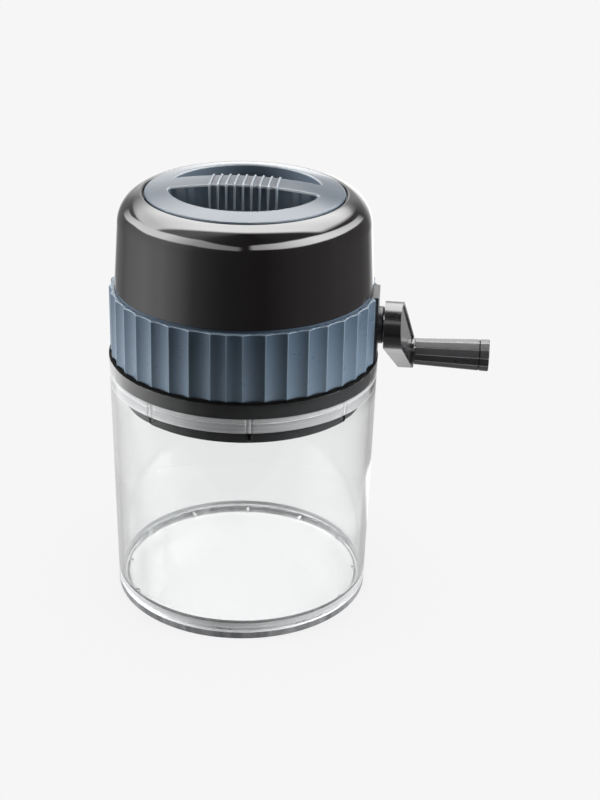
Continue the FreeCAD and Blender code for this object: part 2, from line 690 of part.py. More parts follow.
def make_funnel():
    neck_low = SEAT_UNDER_Z - NECK_DEPTH
    outside = funnel_loft(FUNNEL_WALL, CHAMBER_TOP_Z, neck_low)
    inside = funnel_loft(0, CHAMBER_TOP_Z, neck_low)
    neck = drum(NECK_RADIUS + FUNNEL_WALL, neck_low, SEAT_UNDER_Z)
    flange = drum(NECK_RADIUS + FUNNEL_FLANGE, SEAT_UNDER_Z - FUNNEL_WALL, SEAT_UNDER_Z)
    bore = drum(NECK_RADIUS, neck_low, SEAT_UNDER_Z)
    return outside.fuse([neck, flange]).cut([inside, bore]).removeSplitter()


def comb_slot(side):
    """Slot through one long wall of the chamber, in which a comb's fingers stand."""
    near, far = sorted((side * (HALF_WIDTH - CHAMBER_WALL), side * (HALF_WIDTH + CHAMBER_WALL * 2)))
    half = HALF_LENGTH - CHAMBER_CORNER + SEAT_FIT
    return block(-half, half, near, far, COMB_Z - SEAT_FIT, COMB_Z + COMB_THICKNESS + SEAT_FIT)


def comb_screw_places():
    return (-COMB_SCREW_SPACING / 2, COMB_SCREW_SPACING / 2)


def make_chamber():
    low = FLOOR_Z
    flange_low = FLOOR_TOP_Z
    outer = prism_box(HALF_LENGTH + CHAMBER_WALL, HALF_WIDTH + CHAMBER_WALL,
                      CHAMBER_CORNER + CHAMBER_WALL, low, CHAMBER_TOP_Z)
    flange = prism_box(HALF_LENGTH + CHAMBER_WALL + CHAMBER_FLANGE,
                       HALF_WIDTH + CHAMBER_WALL + CHAMBER_SIDE_FLANGE,
                       CHAMBER_CORNER + CHAMBER_WALL, flange_low, flange_low + CHAMBER_FLANGE_THICKNESS)
    inner = prism_box(HALF_LENGTH, HALF_WIDTH, CHAMBER_CORNER, low, CHAMBER_TOP_Z)
    reach = BUSH_END_X + CHAMBER_WALL
    cuts = [inner, bar_x(BUSH_RADIUS + SEAT_FIT, -reach, reach), comb_slot(-1), comb_slot(1)]
    wall_half = HALF_WIDTH + CHAMBER_WALL
    for x in comb_screw_places():
        hole = Part.makeCylinder(SCREW_RADIUS + RUNNING_FIT, wall_half * 2,
                                 vec(x, -wall_half, comb_screw_z()), vec(0, 1, 0))
        cuts.append(hole)
    return outer.fuse(flange).cut(cuts).removeSplitter()


# ---------------------------------------------------------------- combs
def comb_screw_z():
    return COMB_Z + COMB_THICKNESS + COMB_TAB_HEIGHT / 2


def make_comb(side):
    """Steel comb: fingers between the rotor blades and a tab screwed to the chamber wall."""
    half = HALF_LENGTH - CHAMBER_CORNER
    tab_near = HALF_WIDTH + CHAMBER_WALL
    tab_far = tab_near + COMB_TAB_THICKNESS
    root_near = HALF_WIDTH - COMB_ROOT
    tip = SPACER_RADIUS + COMB_REACH_GAP
    pieces = [block(-half, half, root_near, tab_far, COMB_Z, COMB_Z + COMB_THICKNESS)]
    for index in range(ROTOR_BLADES + 1):
        x = (index - ROTOR_BLADES / 2) * BLADE_PITCH
        finger = block(x - COMB_FINGER_WIDTH / 2, x + COMB_FINGER_WIDTH / 2, tip, root_near,
                       COMB_Z, COMB_Z + COMB_THICKNESS)
        nose = Part.makeCylinder(COMB_FINGER_WIDTH / 2, COMB_THICKNESS,
                                 vec(x, tip + COMB_FINGER_WIDTH / 2, COMB_Z))
        squared = block(x - COMB_FINGER_WIDTH / 2, x + COMB_FINGER_WIDTH / 2, tip,
                        tip + COMB_FINGER_WIDTH / 2, COMB_Z, COMB_Z + COMB_THICKNESS)
        pieces.append(finger.cut(squared).fuse(nose))
    tab = block(-half, half, tab_near, tab_far, COMB_Z, COMB_Z + COMB_THICKNESS + COMB_TAB_HEIGHT)
    comb = pieces[0].fuse(pieces[1:] + [tab])
    for x in comb_screw_places():
        comb = comb.cut(Part.makeCylinder(SCREW_RADIUS + RUNNING_FIT, tab_far, vec(x, 0, comb_screw_z()),
                                          vec(0, 1, 0)))
    if side < 0:
        comb.rotate(vec(0, 0, 0), Z_AXIS, 180)
    return comb.removeSplitter()


def make_comb_screws():
    screws = []
    face = HALF_WIDTH + CHAMBER_WALL + COMB_TAB_THICKNESS
    for side in (-1, 1):
        for x in comb_screw_places():
            head = Part.makeCylinder(SCREW_HEAD_RADIUS, SCREW_HEAD, vec(x, side * face, comb_screw_z()),
                                     vec(0, side, 0))
            shank = Part.makeCylinder(SCREW_RADIUS, COMB_SCREW_LENGTH, vec(x, side * face, comb_screw_z()),
                                      vec(0, -side, 0))
            screws.append(head.fuse(shank).removeSplitter())
    return Part.Compound(screws)


# ---------------------------------------------------------------- bearings and shaft
def make_bush(side):
    flange = bar_x(BUSH_FLANGE_RADIUS, BUSH_FACE_X, HALF_LENGTH)
    body = bar_x(BUSH_RADIUS, HALF_LENGTH, BUSH_END_X)
    bush = flange.fuse(body).cut(bar_x(SHAFT_RADIUS + RUNNING_FIT, BUSH_FACE_X, BUSH_END_X))
    if side < 0:
        bush.rotate(vec(0, 0, 0), Z_AXIS, 180)
    return bush.removeSplitter()


def make_bearing_block():
    """Block that fills the gap in the fluted ring and carries the crank end of the shaft."""
    spigot_x = math.sqrt(FRAME_INNER_RADIUS ** 2 - BLOCK_SPIGOT_RADIUS ** 2) - BLOCK_SPIGOT_DEPTH
    pad = block(spigot_x, BLOCK_FACE_X, -BLOCK_HALF_WIDTH, BLOCK_HALF_WIDTH, COLLAR_TOP_Z, RING_TOP_Z)
    pad = pad.cut(drum(FRAME_RADIUS + SEAT_FIT, COLLAR_TOP_Z, RING_TOP_Z))
    boss = bar_x(COLLAR_BOSS_RADIUS, BLOCK_FACE_X - BLOCK_PROUD, BOSS_END_X)
    rim = [edge for edge in boss.Edges if abs(edge.CenterOfMass.x - BOSS_END_X) < TINY]
    boss = boss.makeChamfer(COLLAR_BOSS_CHAMFER, rim)
    spigot = bar_x(BLOCK_SPIGOT_RADIUS, spigot_x, BLOCK_FACE_X)
    bore = bar_x(SHAFT_RADIUS + RUNNING_FIT, spigot_x, BOSS_END_X)
    return pad.fuse([boss, spigot]).cut(bore).removeSplitter()


def make_shaft():
    tail = CLIP_X - SHAFT_TAIL
    journals = bar_x(SHAFT_RADIUS, tail, CRANK_FACE_X)
    hexagon = hexagon_x(SHAFT_HEX, -BUSH_FACE_X + END_PLAY, BUSH_FACE_X - END_PLAY)
    drive = crank_placed(hexagon_x(DRIVE_HEX, CRANK_FACE_X, CRANK_FACE_X + DRIVE_LENGTH))
    groove = bar_x(SHAFT_RADIUS, CLIP_X, CLIP_X + CLIP_THICKNESS)
    groove = groove.cut(bar_x(SHAFT_RADIUS - CLIP_GROOVE_DEPTH, CLIP_X, CLIP_X + CLIP_THICKNESS))
    tap = bar_x(SCREW_RADIUS + RUNNING_FIT, CRANK_FACE_X - CRANK_SCREW_LENGTH, CRANK_FACE_X + DRIVE_LENGTH)
    return journals.fuse([hexagon, drive]).cut([groove, tap]).removeSplitter()


def make_clip():
    outer = CLIP_BORE_RADIUS + CLIP_WALL
    far = CLIP_X + CLIP_THICKNESS
    clip = bar_x(outer, CLIP_X + RUNNING_FIT, far - RUNNING_FIT)
    mouth = block(CLIP_X, far, -CLIP_BORE_RADIUS, CLIP_BORE_RADIUS, AXIS_Z - outer, AXIS_Z)
    return clip.cut([bar_x(CLIP_BORE_RADIUS, CLIP_X, far), mouth])


# ---------------------------------------------------------------- rotor
def make_blade(index):
    """Toothed steel disc: straight cutting faces and hollow-ground backs."""
    x = -ROTOR_HALF + index * BLADE_PITCH
    start = index * BLADE_STAGGER

    def place(radius, degrees):
        angle = math.radians(start + degrees)
        return vec(x, radius * math.cos(angle), AXIS_Z + radius * math.sin(angle))

    pitch = 360.0 / BLADE_TEETH
    middle_radius = BLADE_ROOT_RADIUS + (BLADE_TIP_RADIUS - BLADE_ROOT_RADIUS) * BLADE_HOLLOW
    edges = []
    for tooth in range(BLADE_TEETH):
        angle = tooth * pitch
        root = place(BLADE_ROOT_RADIUS, angle)
        tip = place(BLADE_TIP_RADIUS, angle)
        land_middle = place(BLADE_TIP_RADIUS, angle + BLADE_LAND_ANGLE / 2)
        land_end = place(BLADE_TIP_RADIUS, angle + BLADE_LAND_ANGLE)
        back_middle = place(middle_radius, angle + (BLADE_LAND_ANGLE + BLADE_BACK_ANGLE) / 2)
        back_end = place(BLADE_ROOT_RADIUS, angle + BLADE_BACK_ANGLE)
        valley = place(BLADE_ROOT_RADIUS, angle + (BLADE_BACK_ANGLE + pitch) / 2)
        next_root = place(BLADE_ROOT_RADIUS, angle + pitch)
        edges.append(Part.makeLine(root, tip))
        edges.append(Part.Arc(tip, land_middle, land_end).toShape())
        edges.append(Part.Arc(land_end, back_middle, back_end).toShape())
        edges.append(Part.Arc(back_end, valley, next_root).toShape())
    blade = Part.Face(Part.Wire(edges)).extrude(vec(BLADE_THICKNESS, 0, 0))
    return blade.cut(hexagon_x(SHAFT_HEX + 2 * RUNNING_FIT, x, x + BLADE_THICKNESS))


def make_spacer(x_low, x_high):
    spacer = bar_x(SPACER_RADIUS, x_low, x_high)
    return spacer.cut(hexagon_x(SHAFT_HEX + 2 * RUNNING_FIT, x_low, x_high))


def spacer_spans():
    spans = [(-BUSH_FACE_X + END_PLAY, -ROTOR_HALF)]
    for index in range(ROTOR_BLADES - 1):
        low = -ROTOR_HALF + index * BLADE_PITCH + BLADE_THICKNESS
        spans.append((low, low + BLADE_PITCH - BLADE_THICKNESS))
    spans.append((ROTOR_HALF, BUSH_FACE_X - END_PLAY))
    return spans


# ---------------------------------------------------------------- crank
def arm_plan(inset):
    """Outline of the arm: two end circles joined by their common tangents, arm along +Y."""
    big = HUB_RADIUS - inset
    small = TIP_RADIUS - inset
    lean = math.asin((big - small) / CRANK_THROW)
    sine = math.sin(lean)
    cosine = math.cos(lean)
    hub_up = vec(0, big * sine, AXIS_Z + big * cosine)
    hub_down = vec(0, big * sine, AXIS_Z - big * cosine)
    tip_up = vec(0, CRANK_THROW + small * sine, AXIS_Z + small * cosine)
    tip_down = vec(0, CRANK_THROW + small * sine, AXIS_Z - small * cosine)
    edges = [
        Part.makeLine(hub_up, tip_up),
        Part.Arc(tip_up, vec(0, CRANK_THROW + small, AXIS_Z), tip_down).toShape(),
        Part.makeLine(tip_down, hub_down),
        Part.Arc(hub_down, vec(0, -big, AXIS_Z), hub_up).toShape(),
    ]
    return Part.Face(Part.Wire(edges))


def arm_slab():
    """Slanted slab that bounds the arm: it leans outwards from the hub to the tip."""
    near = -HUB_RADIUS - CUT_MARGIN
    far = CRANK_THROW + TIP_RADIUS + CUT_MARGIN
    inner_slope = (TIP_OUT_X - TIP_THICKNESS - CRANK_FACE_X) / CRANK_THROW
    outline = [
        vec(CRANK_FACE_X, near, 0),
        vec(CRANK_FACE_X, 0, 0),
        vec(CRANK_FACE_X + inner_slope * far, far, 0),
        vec(outer_face_x(far), far, 0),
        vec(outer_face_x(near), near, 0),
        vec(CRANK_FACE_X, near, 0),
    ]
    slab = Part.Face(Part.makePolygon(outline)).extrude(vec(0, 0, 2 * (HUB_RADIUS + CUT_MARGIN)))
    slab.translate(vec(0, 0, AXIS_Z - HUB_RADIUS - CUT_MARGIN))
    return slab


def outer_face_x(along):
    """Height of the arm's slanted outer face at a distance along the arm."""
    return HUB_OUT_X + TIP_SLOPE * along


def slanted_layer(inset, top, thickness):
    """Plate that follows the arm's outer face, its top a given depth below that face."""
    near = -HUB_RADIUS - CUT_MARGIN
    far = CRANK_THROW + TIP_RADIUS + CUT_MARGIN
    outline = [
        vec(outer_face_x(near) - top - thickness, near, 0),
        vec(outer_face_x(far) - top - thickness, far, 0),
        vec(outer_face_x(far) - top, far, 0),
        vec(outer_face_x(near) - top, near, 0),
        vec(outer_face_x(near) - top - thickness, near, 0),
    ]
    layer = Part.Face(Part.makePolygon(outline)).extrude(vec(0, 0, 2 * (HUB_RADIUS + CUT_MARGIN)))
    layer.translate(vec(0, 0, AXIS_Z - HUB_RADIUS - CUT_MARGIN))
    plan = arm_plan(inset).extrude(vec(GRIP_END_X, 0, 0))
    return layer.common(plan)


def make_crank_arm():
    arm = arm_plan(0).extrude(vec(GRIP_END_X, 0, 0)).common(arm_slab())
    recess = slanted_layer(COVER_BORDER, -CUT_MARGIN, CUT_MARGIN + COVER_RECESS + COVER_THICKNESS)
    tip_boss = bar_x(TIP_BOSS_RADIUS, TIP_OUT_X - COVER_THICKNESS - COVER_RECESS,
                     TIP_OUT_X + TIP_BOSS_RISE, CRANK_THROW)
    arm = arm.cut(recess).fuse(tip_boss)
    cuts = [
        hexagon_x(DRIVE_HEX + 2 * RUNNING_FIT, CRANK_FACE_X, CRANK_FACE_X + DRIVE_LENGTH + RUNNING_FIT),
        bar_x(SCREW_RADIUS + SEAT_FIT, CRANK_FACE_X, HUB_OUT_X),
        bar_x(SCREW_HEAD_RADIUS + SEAT_FIT, screw_seat_x(), HUB_OUT_X),
        bar_x(PIN_THREAD_RADIUS + RUNNING_FIT, TIP_OUT_X + TIP_BOSS_RISE - PIN_THREAD_LENGTH,
              TIP_OUT_X + TIP_BOSS_RISE, CRANK_THROW),
    ]
    return crank_placed(arm.cut(cuts).removeSplitter())


def screw_seat_x():
    return CRANK_FACE_X + DRIVE_LENGTH + CRANK_SCREW_SEAT


def make_crank_cover():
    cover = slanted_layer(COVER_BORDER + COVER_GAP, COVER_RECESS, COVER_THICKNESS)
    groove_inset = COVER_BORDER + COVER_GAP + COVER_GROOVE_INSET
    groove_top = COVER_RECESS - CUT_MARGIN
    groove_cut = COVER_GROOVE_DEPTH + CUT_MARGIN
    groove = slanted_layer(groove_inset, groove_top, groove_cut)
    groove = groove.cut(slanted_layer(groove_inset + COVER_GROOVE_WIDTH, groove_top, groove_cut))
    cover = cover.cut(groove)
    hole = bar_x(TIP_BOSS_RADIUS + SEAT_FIT, CRANK_FACE_X, GRIP_END_X, CRANK_THROW)
    head_space = bar_x(SCREW_HEAD_RADIUS + SEAT_FIT, CRANK_FACE_X,
                       screw_seat_x() + CRANK_SCREW_HEAD + SEAT_FIT)
    return crank_placed(cover.cut([hole, head_space]))


def make_crank_screw():
    seat = screw_seat_x()
    head = bar_x(SCREW_HEAD_RADIUS, seat, seat + CRANK_SCREW_HEAD)
    shank = bar_x(SCREW_RADIUS, seat - CRANK_SCREW_LENGTH, seat)
    return head.fuse(shank).removeSplitter()


def make_grip_pin():
    seat = TIP_OUT_X + TIP_BOSS_RISE
    head_x = GRIP_END_X - GRIP_CAP_LENGTH - PIN_HEAD - END_PLAY
    pin = bar_x(PIN_RADIUS, seat, head_x, CRANK_THROW)
    head = bar_x(PIN_HEAD_RADIUS, head_x, head_x + PIN_HEAD, CRANK_THROW)
    thread = bar_x(PIN_THREAD_RADIUS, seat - PIN_THREAD_LENGTH, seat, CRANK_THROW)
    return crank_placed(pin.fuse([head, thread]).removeSplitter())


def make_grip_washer():
    seat = TIP_OUT_X + TIP_BOSS_RISE
    washer = bar_x(WASHER_RADIUS, seat, seat + WASHER_THICKNESS, CRANK_THROW)
    hole = bar_x(PIN_RADIUS + RUNNING_FIT, seat, seat + WASHER_THICKNESS, CRANK_THROW)
    return crank_placed(washer.cut(hole))


def grip_length(x_low, x_high):
    """Length of the grip's tapering, many-sided body between two places."""
    slope = (GRIP_END_RADIUS - GRIP_BASE_RADIUS) / GRIP_LENGTH
    rings = []
    for x in (x_low, x_high):
        radius = GRIP_BASE_RADIUS + slope * (x - GRIP_BASE_X)
        corners = []
        for side in range(GRIP_SIDES):
            angle = math.radians(GRIP_FIRST_CORNER + 360.0 * side / GRIP_SIDES)
            corners.append(vec(x, CRANK_THROW + radius * math.cos(angle), AXIS_Z + radius * math.sin(angle)))
        rings.append(Part.makePolygon(corners + corners[:1]))
    return Part.makeLoft(rings, True, True)


def make_grip():
    end = GRIP_END_X - GRIP_CAP_LENGTH
    head_x = end - PIN_HEAD - 2 * END_PLAY
    grip = grip_length(GRIP_BASE_X, end)
    grip = grip.cut([
        bar_x(PIN_RADIUS + RUNNING_FIT, GRIP_BASE_X, end, CRANK_THROW),
        bar_x(PIN_HEAD_RADIUS + END_PLAY, head_x, end, CRANK_THROW),
    ])
    return crank_placed(grip)


def make_grip_cap():
    start = GRIP_END_X - GRIP_CAP_LENGTH
    cap = grip_length(start, GRIP_END_X)
    rim = [edge for edge in cap.Edges if edge.CenterOfMass.x > GRIP_END_X - TINY]
    cap = cap.makeChamfer(GRIP_END_BEVEL, rim)
    return crank_placed(cap)


def make_housing_screws():
    screws = []
    seat = TOWER_TOP_Z - TOWER_CAP
    for x, y in tower_places():
        head = drum(SCREW_HEAD_RADIUS, seat - SCREW_HEAD, seat, x, y)
        shank = drum(SCREW_RADIUS, seat, seat + SCREW_LENGTH, x, y)
        screws.append(head.fuse(shank).removeSplitter())
    return Part.Compound(screws)


# ---------------------------------------------------------------- assembly
def build():
    nodes = {
        "clear_cup": make_cup(),
        "head_frame": make_head_frame(),
        "grip_ring": make_grip_ring(),
        "dome_housing": make_dome(),
        "feed_funnel": make_funnel(),
        "crushing_chamber": make_chamber(),
        "front_comb": make_comb(-1),
        "rear_comb": make_comb(1),
        "comb_screws": make_comb_screws(),
        "housing_screws": make_housing_screws(),
        "crank_side_bush": make_bush(1),
        "far_side_bush": make_bush(-1),
        "bearing_block": make_bearing_block(),
        "lid_cap": make_lid_cap(),
        "lid_seal": make_lid_seal(),
        "crank_shaft": make_shaft(),
        "shaft_clip": make_clip(),
        "crank_arm": make_crank_arm(),
        "crank_cover": make_crank_cover(),
        "crank_screw": make_crank_screw(),
        "grip_pin": make_grip_pin(),
        "grip_washer": make_grip_washer(),
        "crank_grip": make_grip(),
        "grip_end_cap": make_grip_cap(),
    }
    for index in range(ROTOR_BLADES):
        nodes["rotor_blade_%d" % (index + 1)] = make_blade(index)
    for index, span in enumerate(spacer_spans()):
        nodes["rotor_spacer_%d" % (index + 1)] = make_spacer(*span)
    return nodes


os.makedirs("parts", exist_ok=True)
for name, shape in build().items():
    shape.exportStep(os.path.join("parts", name + ".step"))
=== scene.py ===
import json
import math

import bmesh
import bpy
from mathutils import Matrix, Vector
from mathutils.geometry import delaunay_2d_cdt


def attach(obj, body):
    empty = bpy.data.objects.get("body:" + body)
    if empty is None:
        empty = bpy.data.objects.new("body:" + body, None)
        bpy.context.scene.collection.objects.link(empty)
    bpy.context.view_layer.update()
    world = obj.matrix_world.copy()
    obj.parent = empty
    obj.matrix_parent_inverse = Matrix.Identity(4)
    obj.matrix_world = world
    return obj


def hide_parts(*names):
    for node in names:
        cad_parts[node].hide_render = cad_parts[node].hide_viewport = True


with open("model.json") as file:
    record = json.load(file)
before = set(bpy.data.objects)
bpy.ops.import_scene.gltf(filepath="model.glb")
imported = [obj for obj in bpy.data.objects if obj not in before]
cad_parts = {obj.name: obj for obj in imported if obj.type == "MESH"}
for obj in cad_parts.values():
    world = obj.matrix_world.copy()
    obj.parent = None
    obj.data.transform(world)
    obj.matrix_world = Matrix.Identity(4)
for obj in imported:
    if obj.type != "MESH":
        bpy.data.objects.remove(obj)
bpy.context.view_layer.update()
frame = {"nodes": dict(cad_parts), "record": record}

scene = bpy.context.scene
scene.view_settings.view_transform = "Standard"
nodes = frame["nodes"]
MM = 0.001
WEAR_AND_LIGHT = "wear_and_painted_light"
TURN_SEGMENTS = 256

# ---------------------------------------------------------------- colours, linear light
BACKGROUND = (0.922, 0.922, 0.922)
FLOOR_WHITE = (0.80, 0.80, 0.80)
ROOM_LEVEL = 0.09
CLEAR = (0.985, 0.99, 0.99)
# clear plastic where gloss shows it: painted greyer, a painted shade
CLEAR_SHADED_IN_GLOSS = (0.50, 0.50, 0.50)
CLEAR_SHADOW = (0.93, 0.94, 0.94)
FRAME_BLACK = (0.045, 0.045, 0.047)
SLATE = (0.061, 0.091, 0.128)
# lighter slate on the ring's ridges and edges: wear and painted highlight
SLATE_WEAR_AND_HIGHLIGHT = (0.24, 0.31, 0.38)
DOME_BLACK = (0.0060, 0.0048, 0.0050)
INNER_GREY = (0.16, 0.165, 0.17)
LID_SLATE = (0.132, 0.169, 0.215)
# lighter lid colour: wear and painted highlight on the pits' edges, painted light on the bar's
# front
LID_WEAR_AND_PAINTED_LIGHT = (0.56, 0.61, 0.65)
# painted reflection under the ledge and painted haze at the foot, inside the clear wall
PAINTED_LIGHT_GREY = (0.75, 0.75, 0.76)
# grey patches at the foot: frost and painted shade
FOOT_FROST_AND_SHADE = (0.24, 0.24, 0.25)
# painted highlight along the foot's inner corner
FOOT_GLINT = (0.60, 0.60, 0.61)
# lighter slate of the rib crests: a painted highlight
RIB_PAINTED_HIGHLIGHT = (0.36, 0.41, 0.45)
BUSH = (0.62, 0.60, 0.55)
RUBBER = (0.05, 0.05, 0.052)
# black of the painted shadow along the cup's rim
RIM_SHADOW_BLACK = (0.004, 0.004, 0.004)
CRANK_BLACK = (0.012, 0.012, 0.013)
INLAY = (0.03, 0.03, 0.032)
GRIP_BLACK = (0.022, 0.022, 0.024)
# lighter grey on the grip's corners: wear and painted highlight
GRIP_WEAR_AND_HIGHLIGHT = (0.34, 0.34, 0.35)
STEEL = (0.62, 0.61, 0.60)
SCREW = (0.055, 0.055, 0.055)
BLADE = (0.66, 0.66, 0.65)

# ---------------------------------------------------------------- main sizes, in millimetres
DOME_BOTTOM_RADIUS = 63.4
DOME_SHOULDER_RADIUS = 61.4
DOME_BOTTOM_Z = 164.5
DOME_SHOULDER_Z = 196.3
DOME_ROUND = 16.0
DOME_FOOT_ROUND = 0.35
DOME_MOUTH_ROUND = 1.1
DOME_MOUTH_MARGIN = 0.08  # radians of the shoulder's arc left to the mouth's round
DOME_WALL = 2.2
DOME_MOUTH_RADIUS = 48.8
DOME_LAP_RADIUS = 61.3
DOME_LAP_Z = 167.6
DOME_LAP_STEP = 0.3
NECK_RADIUS = 44.0
NECK_ROUND = 0.3
SEAT_Z = 207.558
SEAT_UNDER_Z = 205.558

LID_RADIUS = 48.15
LID_TOP_Z = 216.3
LID_CROWN_RADIUS = 217.0
LID_WALL = 2.2
LID_EDGE_ROUND = 1.0
LID_EDGE_MARGIN = 0.8
LID_SEAT_ROUND = 0.2
LID_SEGMENTS = 192
FILL_PITCH = 2.0
FILL_ROW_SHARE = 0.87
LID_PLUG_RADIUS = 42.8
LID_PLUG_DEPTH = 8.0
LID_PLUG_ROUND = 0.5
LID_GROOVE_DEPTH = 0.9
LID_GROOVE_HALF = 0.9
PIT_RADIUS = 37.0
PIT_HALF_BAR = 8.0
PIT_TIP_ROUND = 1.6
PIT_FLOOR_Z = 203.0
PIT_WALL = 1.8
PIT_EDGE_ROUND = 1.1
PIT_EDGE_MARGIN = 0.7
PIT_FLOOR_ROUND = 0.9
PIT_STEPS, PIT_TIP_STEPS, PIT_BAR_STEPS, PIT_ROUND_STEPS = 72, 10, 48, 6
# painted light on the bar's front wall, which lies in the pits' shade
BAR_FRONT_PAINTED_LIGHT = 0.30
RIBS = 9
RIB_PITCH = 4.0
RIB_WIDTH = 1.2
RIB_HEIGHT = 0.8
RIB_SINK = 0.35
RIB_SHOULDER = 0.15
RIB_WALL_STEP = 4.0
RIB_ARC_STEPS = 8
RIB_HIGHLIGHT_START = 0.2

RING_INNER_RADIUS = 62.3
RING_RIDGE_RADIUS = 66.0
RING_FLUTE_DEPTH = 1.3
RING_LIP_RADIUS = 63.0
RING_LOW_Z = 129.5
RING_EDGE_Z = 129.8
RING_TOP_Z = 163.4
RING_FACE_Z = 129.95
RING_EDGE_ROUND = 0.5
RING_RIDGE_ROUND = 0.02
WIDE_FLUTES = 38
NARROW_FLUTES = 2
NARROW_FLUTE_ANGLE = 6.5
# places across a flute, (rise, inset) of the low edge, and (share, reach) of wear and painted
# highlight on ridges, top edge and low edge
FLUTE_SHARES = (0.0, 0.012, 0.025, 0.045, 0.08, 0.14, 0.22, 0.32, 0.44, 0.56, 0.68, 0.78, 0.86,
                0.92, 0.955, 0.975, 0.988)
RING_LOW_EDGE = ((0.0, 0.55), (0.12, 0.25), (0.35, 0.06), (0.6, 0.0))
RING_WEAR_AND_HIGHLIGHT = ((0.75, 0.14), (0.9, 0.5), (0.6, 0.4))
RING_WEAR_AND_HIGHLIGHT_MARGIN = 0.3
BLOCK_GAP_HALF = 9.4

# profiles (r, z) of the dark lip on the cup's rim, a painted shadow of the gap under the ring,
# and of the bands that paint what the wall shows of the foot
CUP_SHADOW_LIP = ((66.84, 128.75), (66.60, 129.05), (66.33, 129.33), (64.6, 129.36))
FOOT_BANDS = (
    # frost and painted shade; a painted highlight; painted haze above and below it
    ("foot_band", ((64.02, 0.10), (64.06, 1.9), (64.08, 3.6)), "foot_frost"),
    ("foot_glint", ((63.74, 4.75), (63.62, 5.2), (63.45, 5.8)), "foot_glint"),
    ("foot_upper_haze", ((63.69, 5.9), (63.66, 7.4), (63.62, 8.8)), "ledge_frost"),
    ("foot_haze", ((64.08, 3.7), (63.90, 4.2), (63.76, 4.65)), "ledge_frost"),
)
CUP_INNER_AT_LEDGE = 64.3
LEDGE_Z = 120.5
LEDGE_BAND = ((0.05, 0.5), (0.12, 0.0), (0.20, -0.8), (0.16, -1.5), (0.30, -2.2), (0.26, -3.2),
              (0.20, -4.2), (0.05, -6.7))  # (inset from the wall, height over the ledge)
BAND_STATIONS = 720
GUSSETS = 8
GUSSET_FIRST_ANGLE = -80.5
GUSSET_LINE_OFFSET = 1.1
GUSSET_LINE_HALF = 0.6
GUSSET_LINE_LIFT = 0.45

GRIP_SIDES = 12
GRIP_CORNER_ANGLE = -10.0
GRIP_BASE_RADIUS = 7.0
GRIP_END_RADIUS = 8.55
GRIP_EDGE_HALF = 0.45
GRIP_BORE = 3.2
GRIP_HEAD_BORE = 5.3
GRIP_HEAD_DEPTH = 3.1
GRIP_END_BEVEL = 0.6
GRIP_SEAM_RUN = 0.4
GRIP_SEAM_INSET = 0.45
GRIP_CLOSED = 0.05
GRIP_BASE_EDGE = ((0.0, 0.35), (0.12, 0.12), (0.35, 0.0))  # (run, inset)
GRIP_BEVEL_SHARES = ((0.62, 0.08), (0.29, 0.29), (0.08, 0.62))

EDGE_ROUND = {"crank_arm": 0.50, "crank_cover": 0.20, "bearing_block": 0.40}


# ---------------------------------------------------------------- shader nodes
# sockets of a Mix node: factor, first value, second value
NUMBER_MIX, NUMBER_RESULT = (0, 2, 3), 0
COLOUR_MIX, COLOUR_RESULT = (0, 6, 7), 2


def rgba(colour):
    return tuple(colour) + (1.0,)


def feed(tree, socket, value):
    """Write a value into a socket, or link another node's socket to it."""
    if isinstance(value, bpy.types.NodeSocket):
        tree.links.new(value, socket)
    else:
        socket.default_value = value


def maths(tree, operation, first, second=None):
    node = tree.nodes.new("ShaderNodeMath")
    node.operation = operation
    feed(tree, node.inputs[0], first)
    if second is not None:
        feed(tree, node.inputs[1], second)
    return node.outputs["Value"]


def mixed(tree, share, first, second):
    """Number between first and second."""
    node = tree.nodes.new("ShaderNodeMix")
    for number, value in zip(NUMBER_MIX, (share, first, second)):
        feed(tree, node.inputs[number], value)
    return node.outputs[NUMBER_RESULT]


def mixed_colour(tree, share, first, second):
    """Colour between first and second."""
    node = tree.nodes.new("ShaderNodeMix")
    node.data_type = "RGBA"
    for number, value in zip(COLOUR_MIX, (share, first, second)):
        feed(tree, node.inputs[number], value)
    return node.outputs[COLOUR_RESULT]


def mixed_shader(tree, share, first, second):
    node = tree.nodes.new("ShaderNodeMixShader")
    for socket, value in zip(node.inputs, (share, first, second)):
        tree.links.new(value, socket)
    return node.outputs["Shader"]


def show(tree, surface):
    tree.links.new(surface, tree.nodes["Material Output"].inputs["Surface"])


def ranged(tree, source, low, high, source_low=0.3, source_high=0.7):
    node = tree.nodes.new("ShaderNodeMapRange")
    node.inputs["From Min"].default_value = source_low
    node.inputs["From Max"].default_value = source_high
    node.inputs["To Min"].default_value = low
    node.inputs["To Max"].default_value = high
    tree.links.new(source, node.inputs["Value"])
    return node.outputs["Result"]


def stepped(tree, source, low, high):
    """Smooth step from 0 at low to 1 at high; low may be the larger one."""
    node = tree.nodes.new("ShaderNodeMapRange")
    node.interpolation_type = "SMOOTHSTEP"
    node.inputs["From Min"].default_value = low
    node.inputs["From Max"].default_value = high
    tree.links.new(source, node.inputs["Value"])
    return node.outputs["Result"]


def curve(tree, source, stops, low, high):
    """Value that runs through (place, value) stops, with the place between low and high."""
    node = tree.nodes.new("ShaderNodeValToRGB")
    ramp = node.color_ramp
    peak = max(value for _, value in stops)
    while len(ramp.elements) < len(stops):
        ramp.elements.new(0.5)
    for element, (place, value) in zip(ramp.elements, stops):
        element.position = (place - low) / (high - low)
        element.color = rgba([value / peak] * 3)
    tree.links.new(ranged(tree, source, 0.0, 1.0, low, high), node.inputs["Fac"])
    return maths(tree, "MULTIPLY", node.outputs["Color"], peak)


def bearing_curve(tree, bearing, stops):
    """Value by bearing, in degrees all round the object."""
    return curve(tree, bearing, stops, -180, 180)


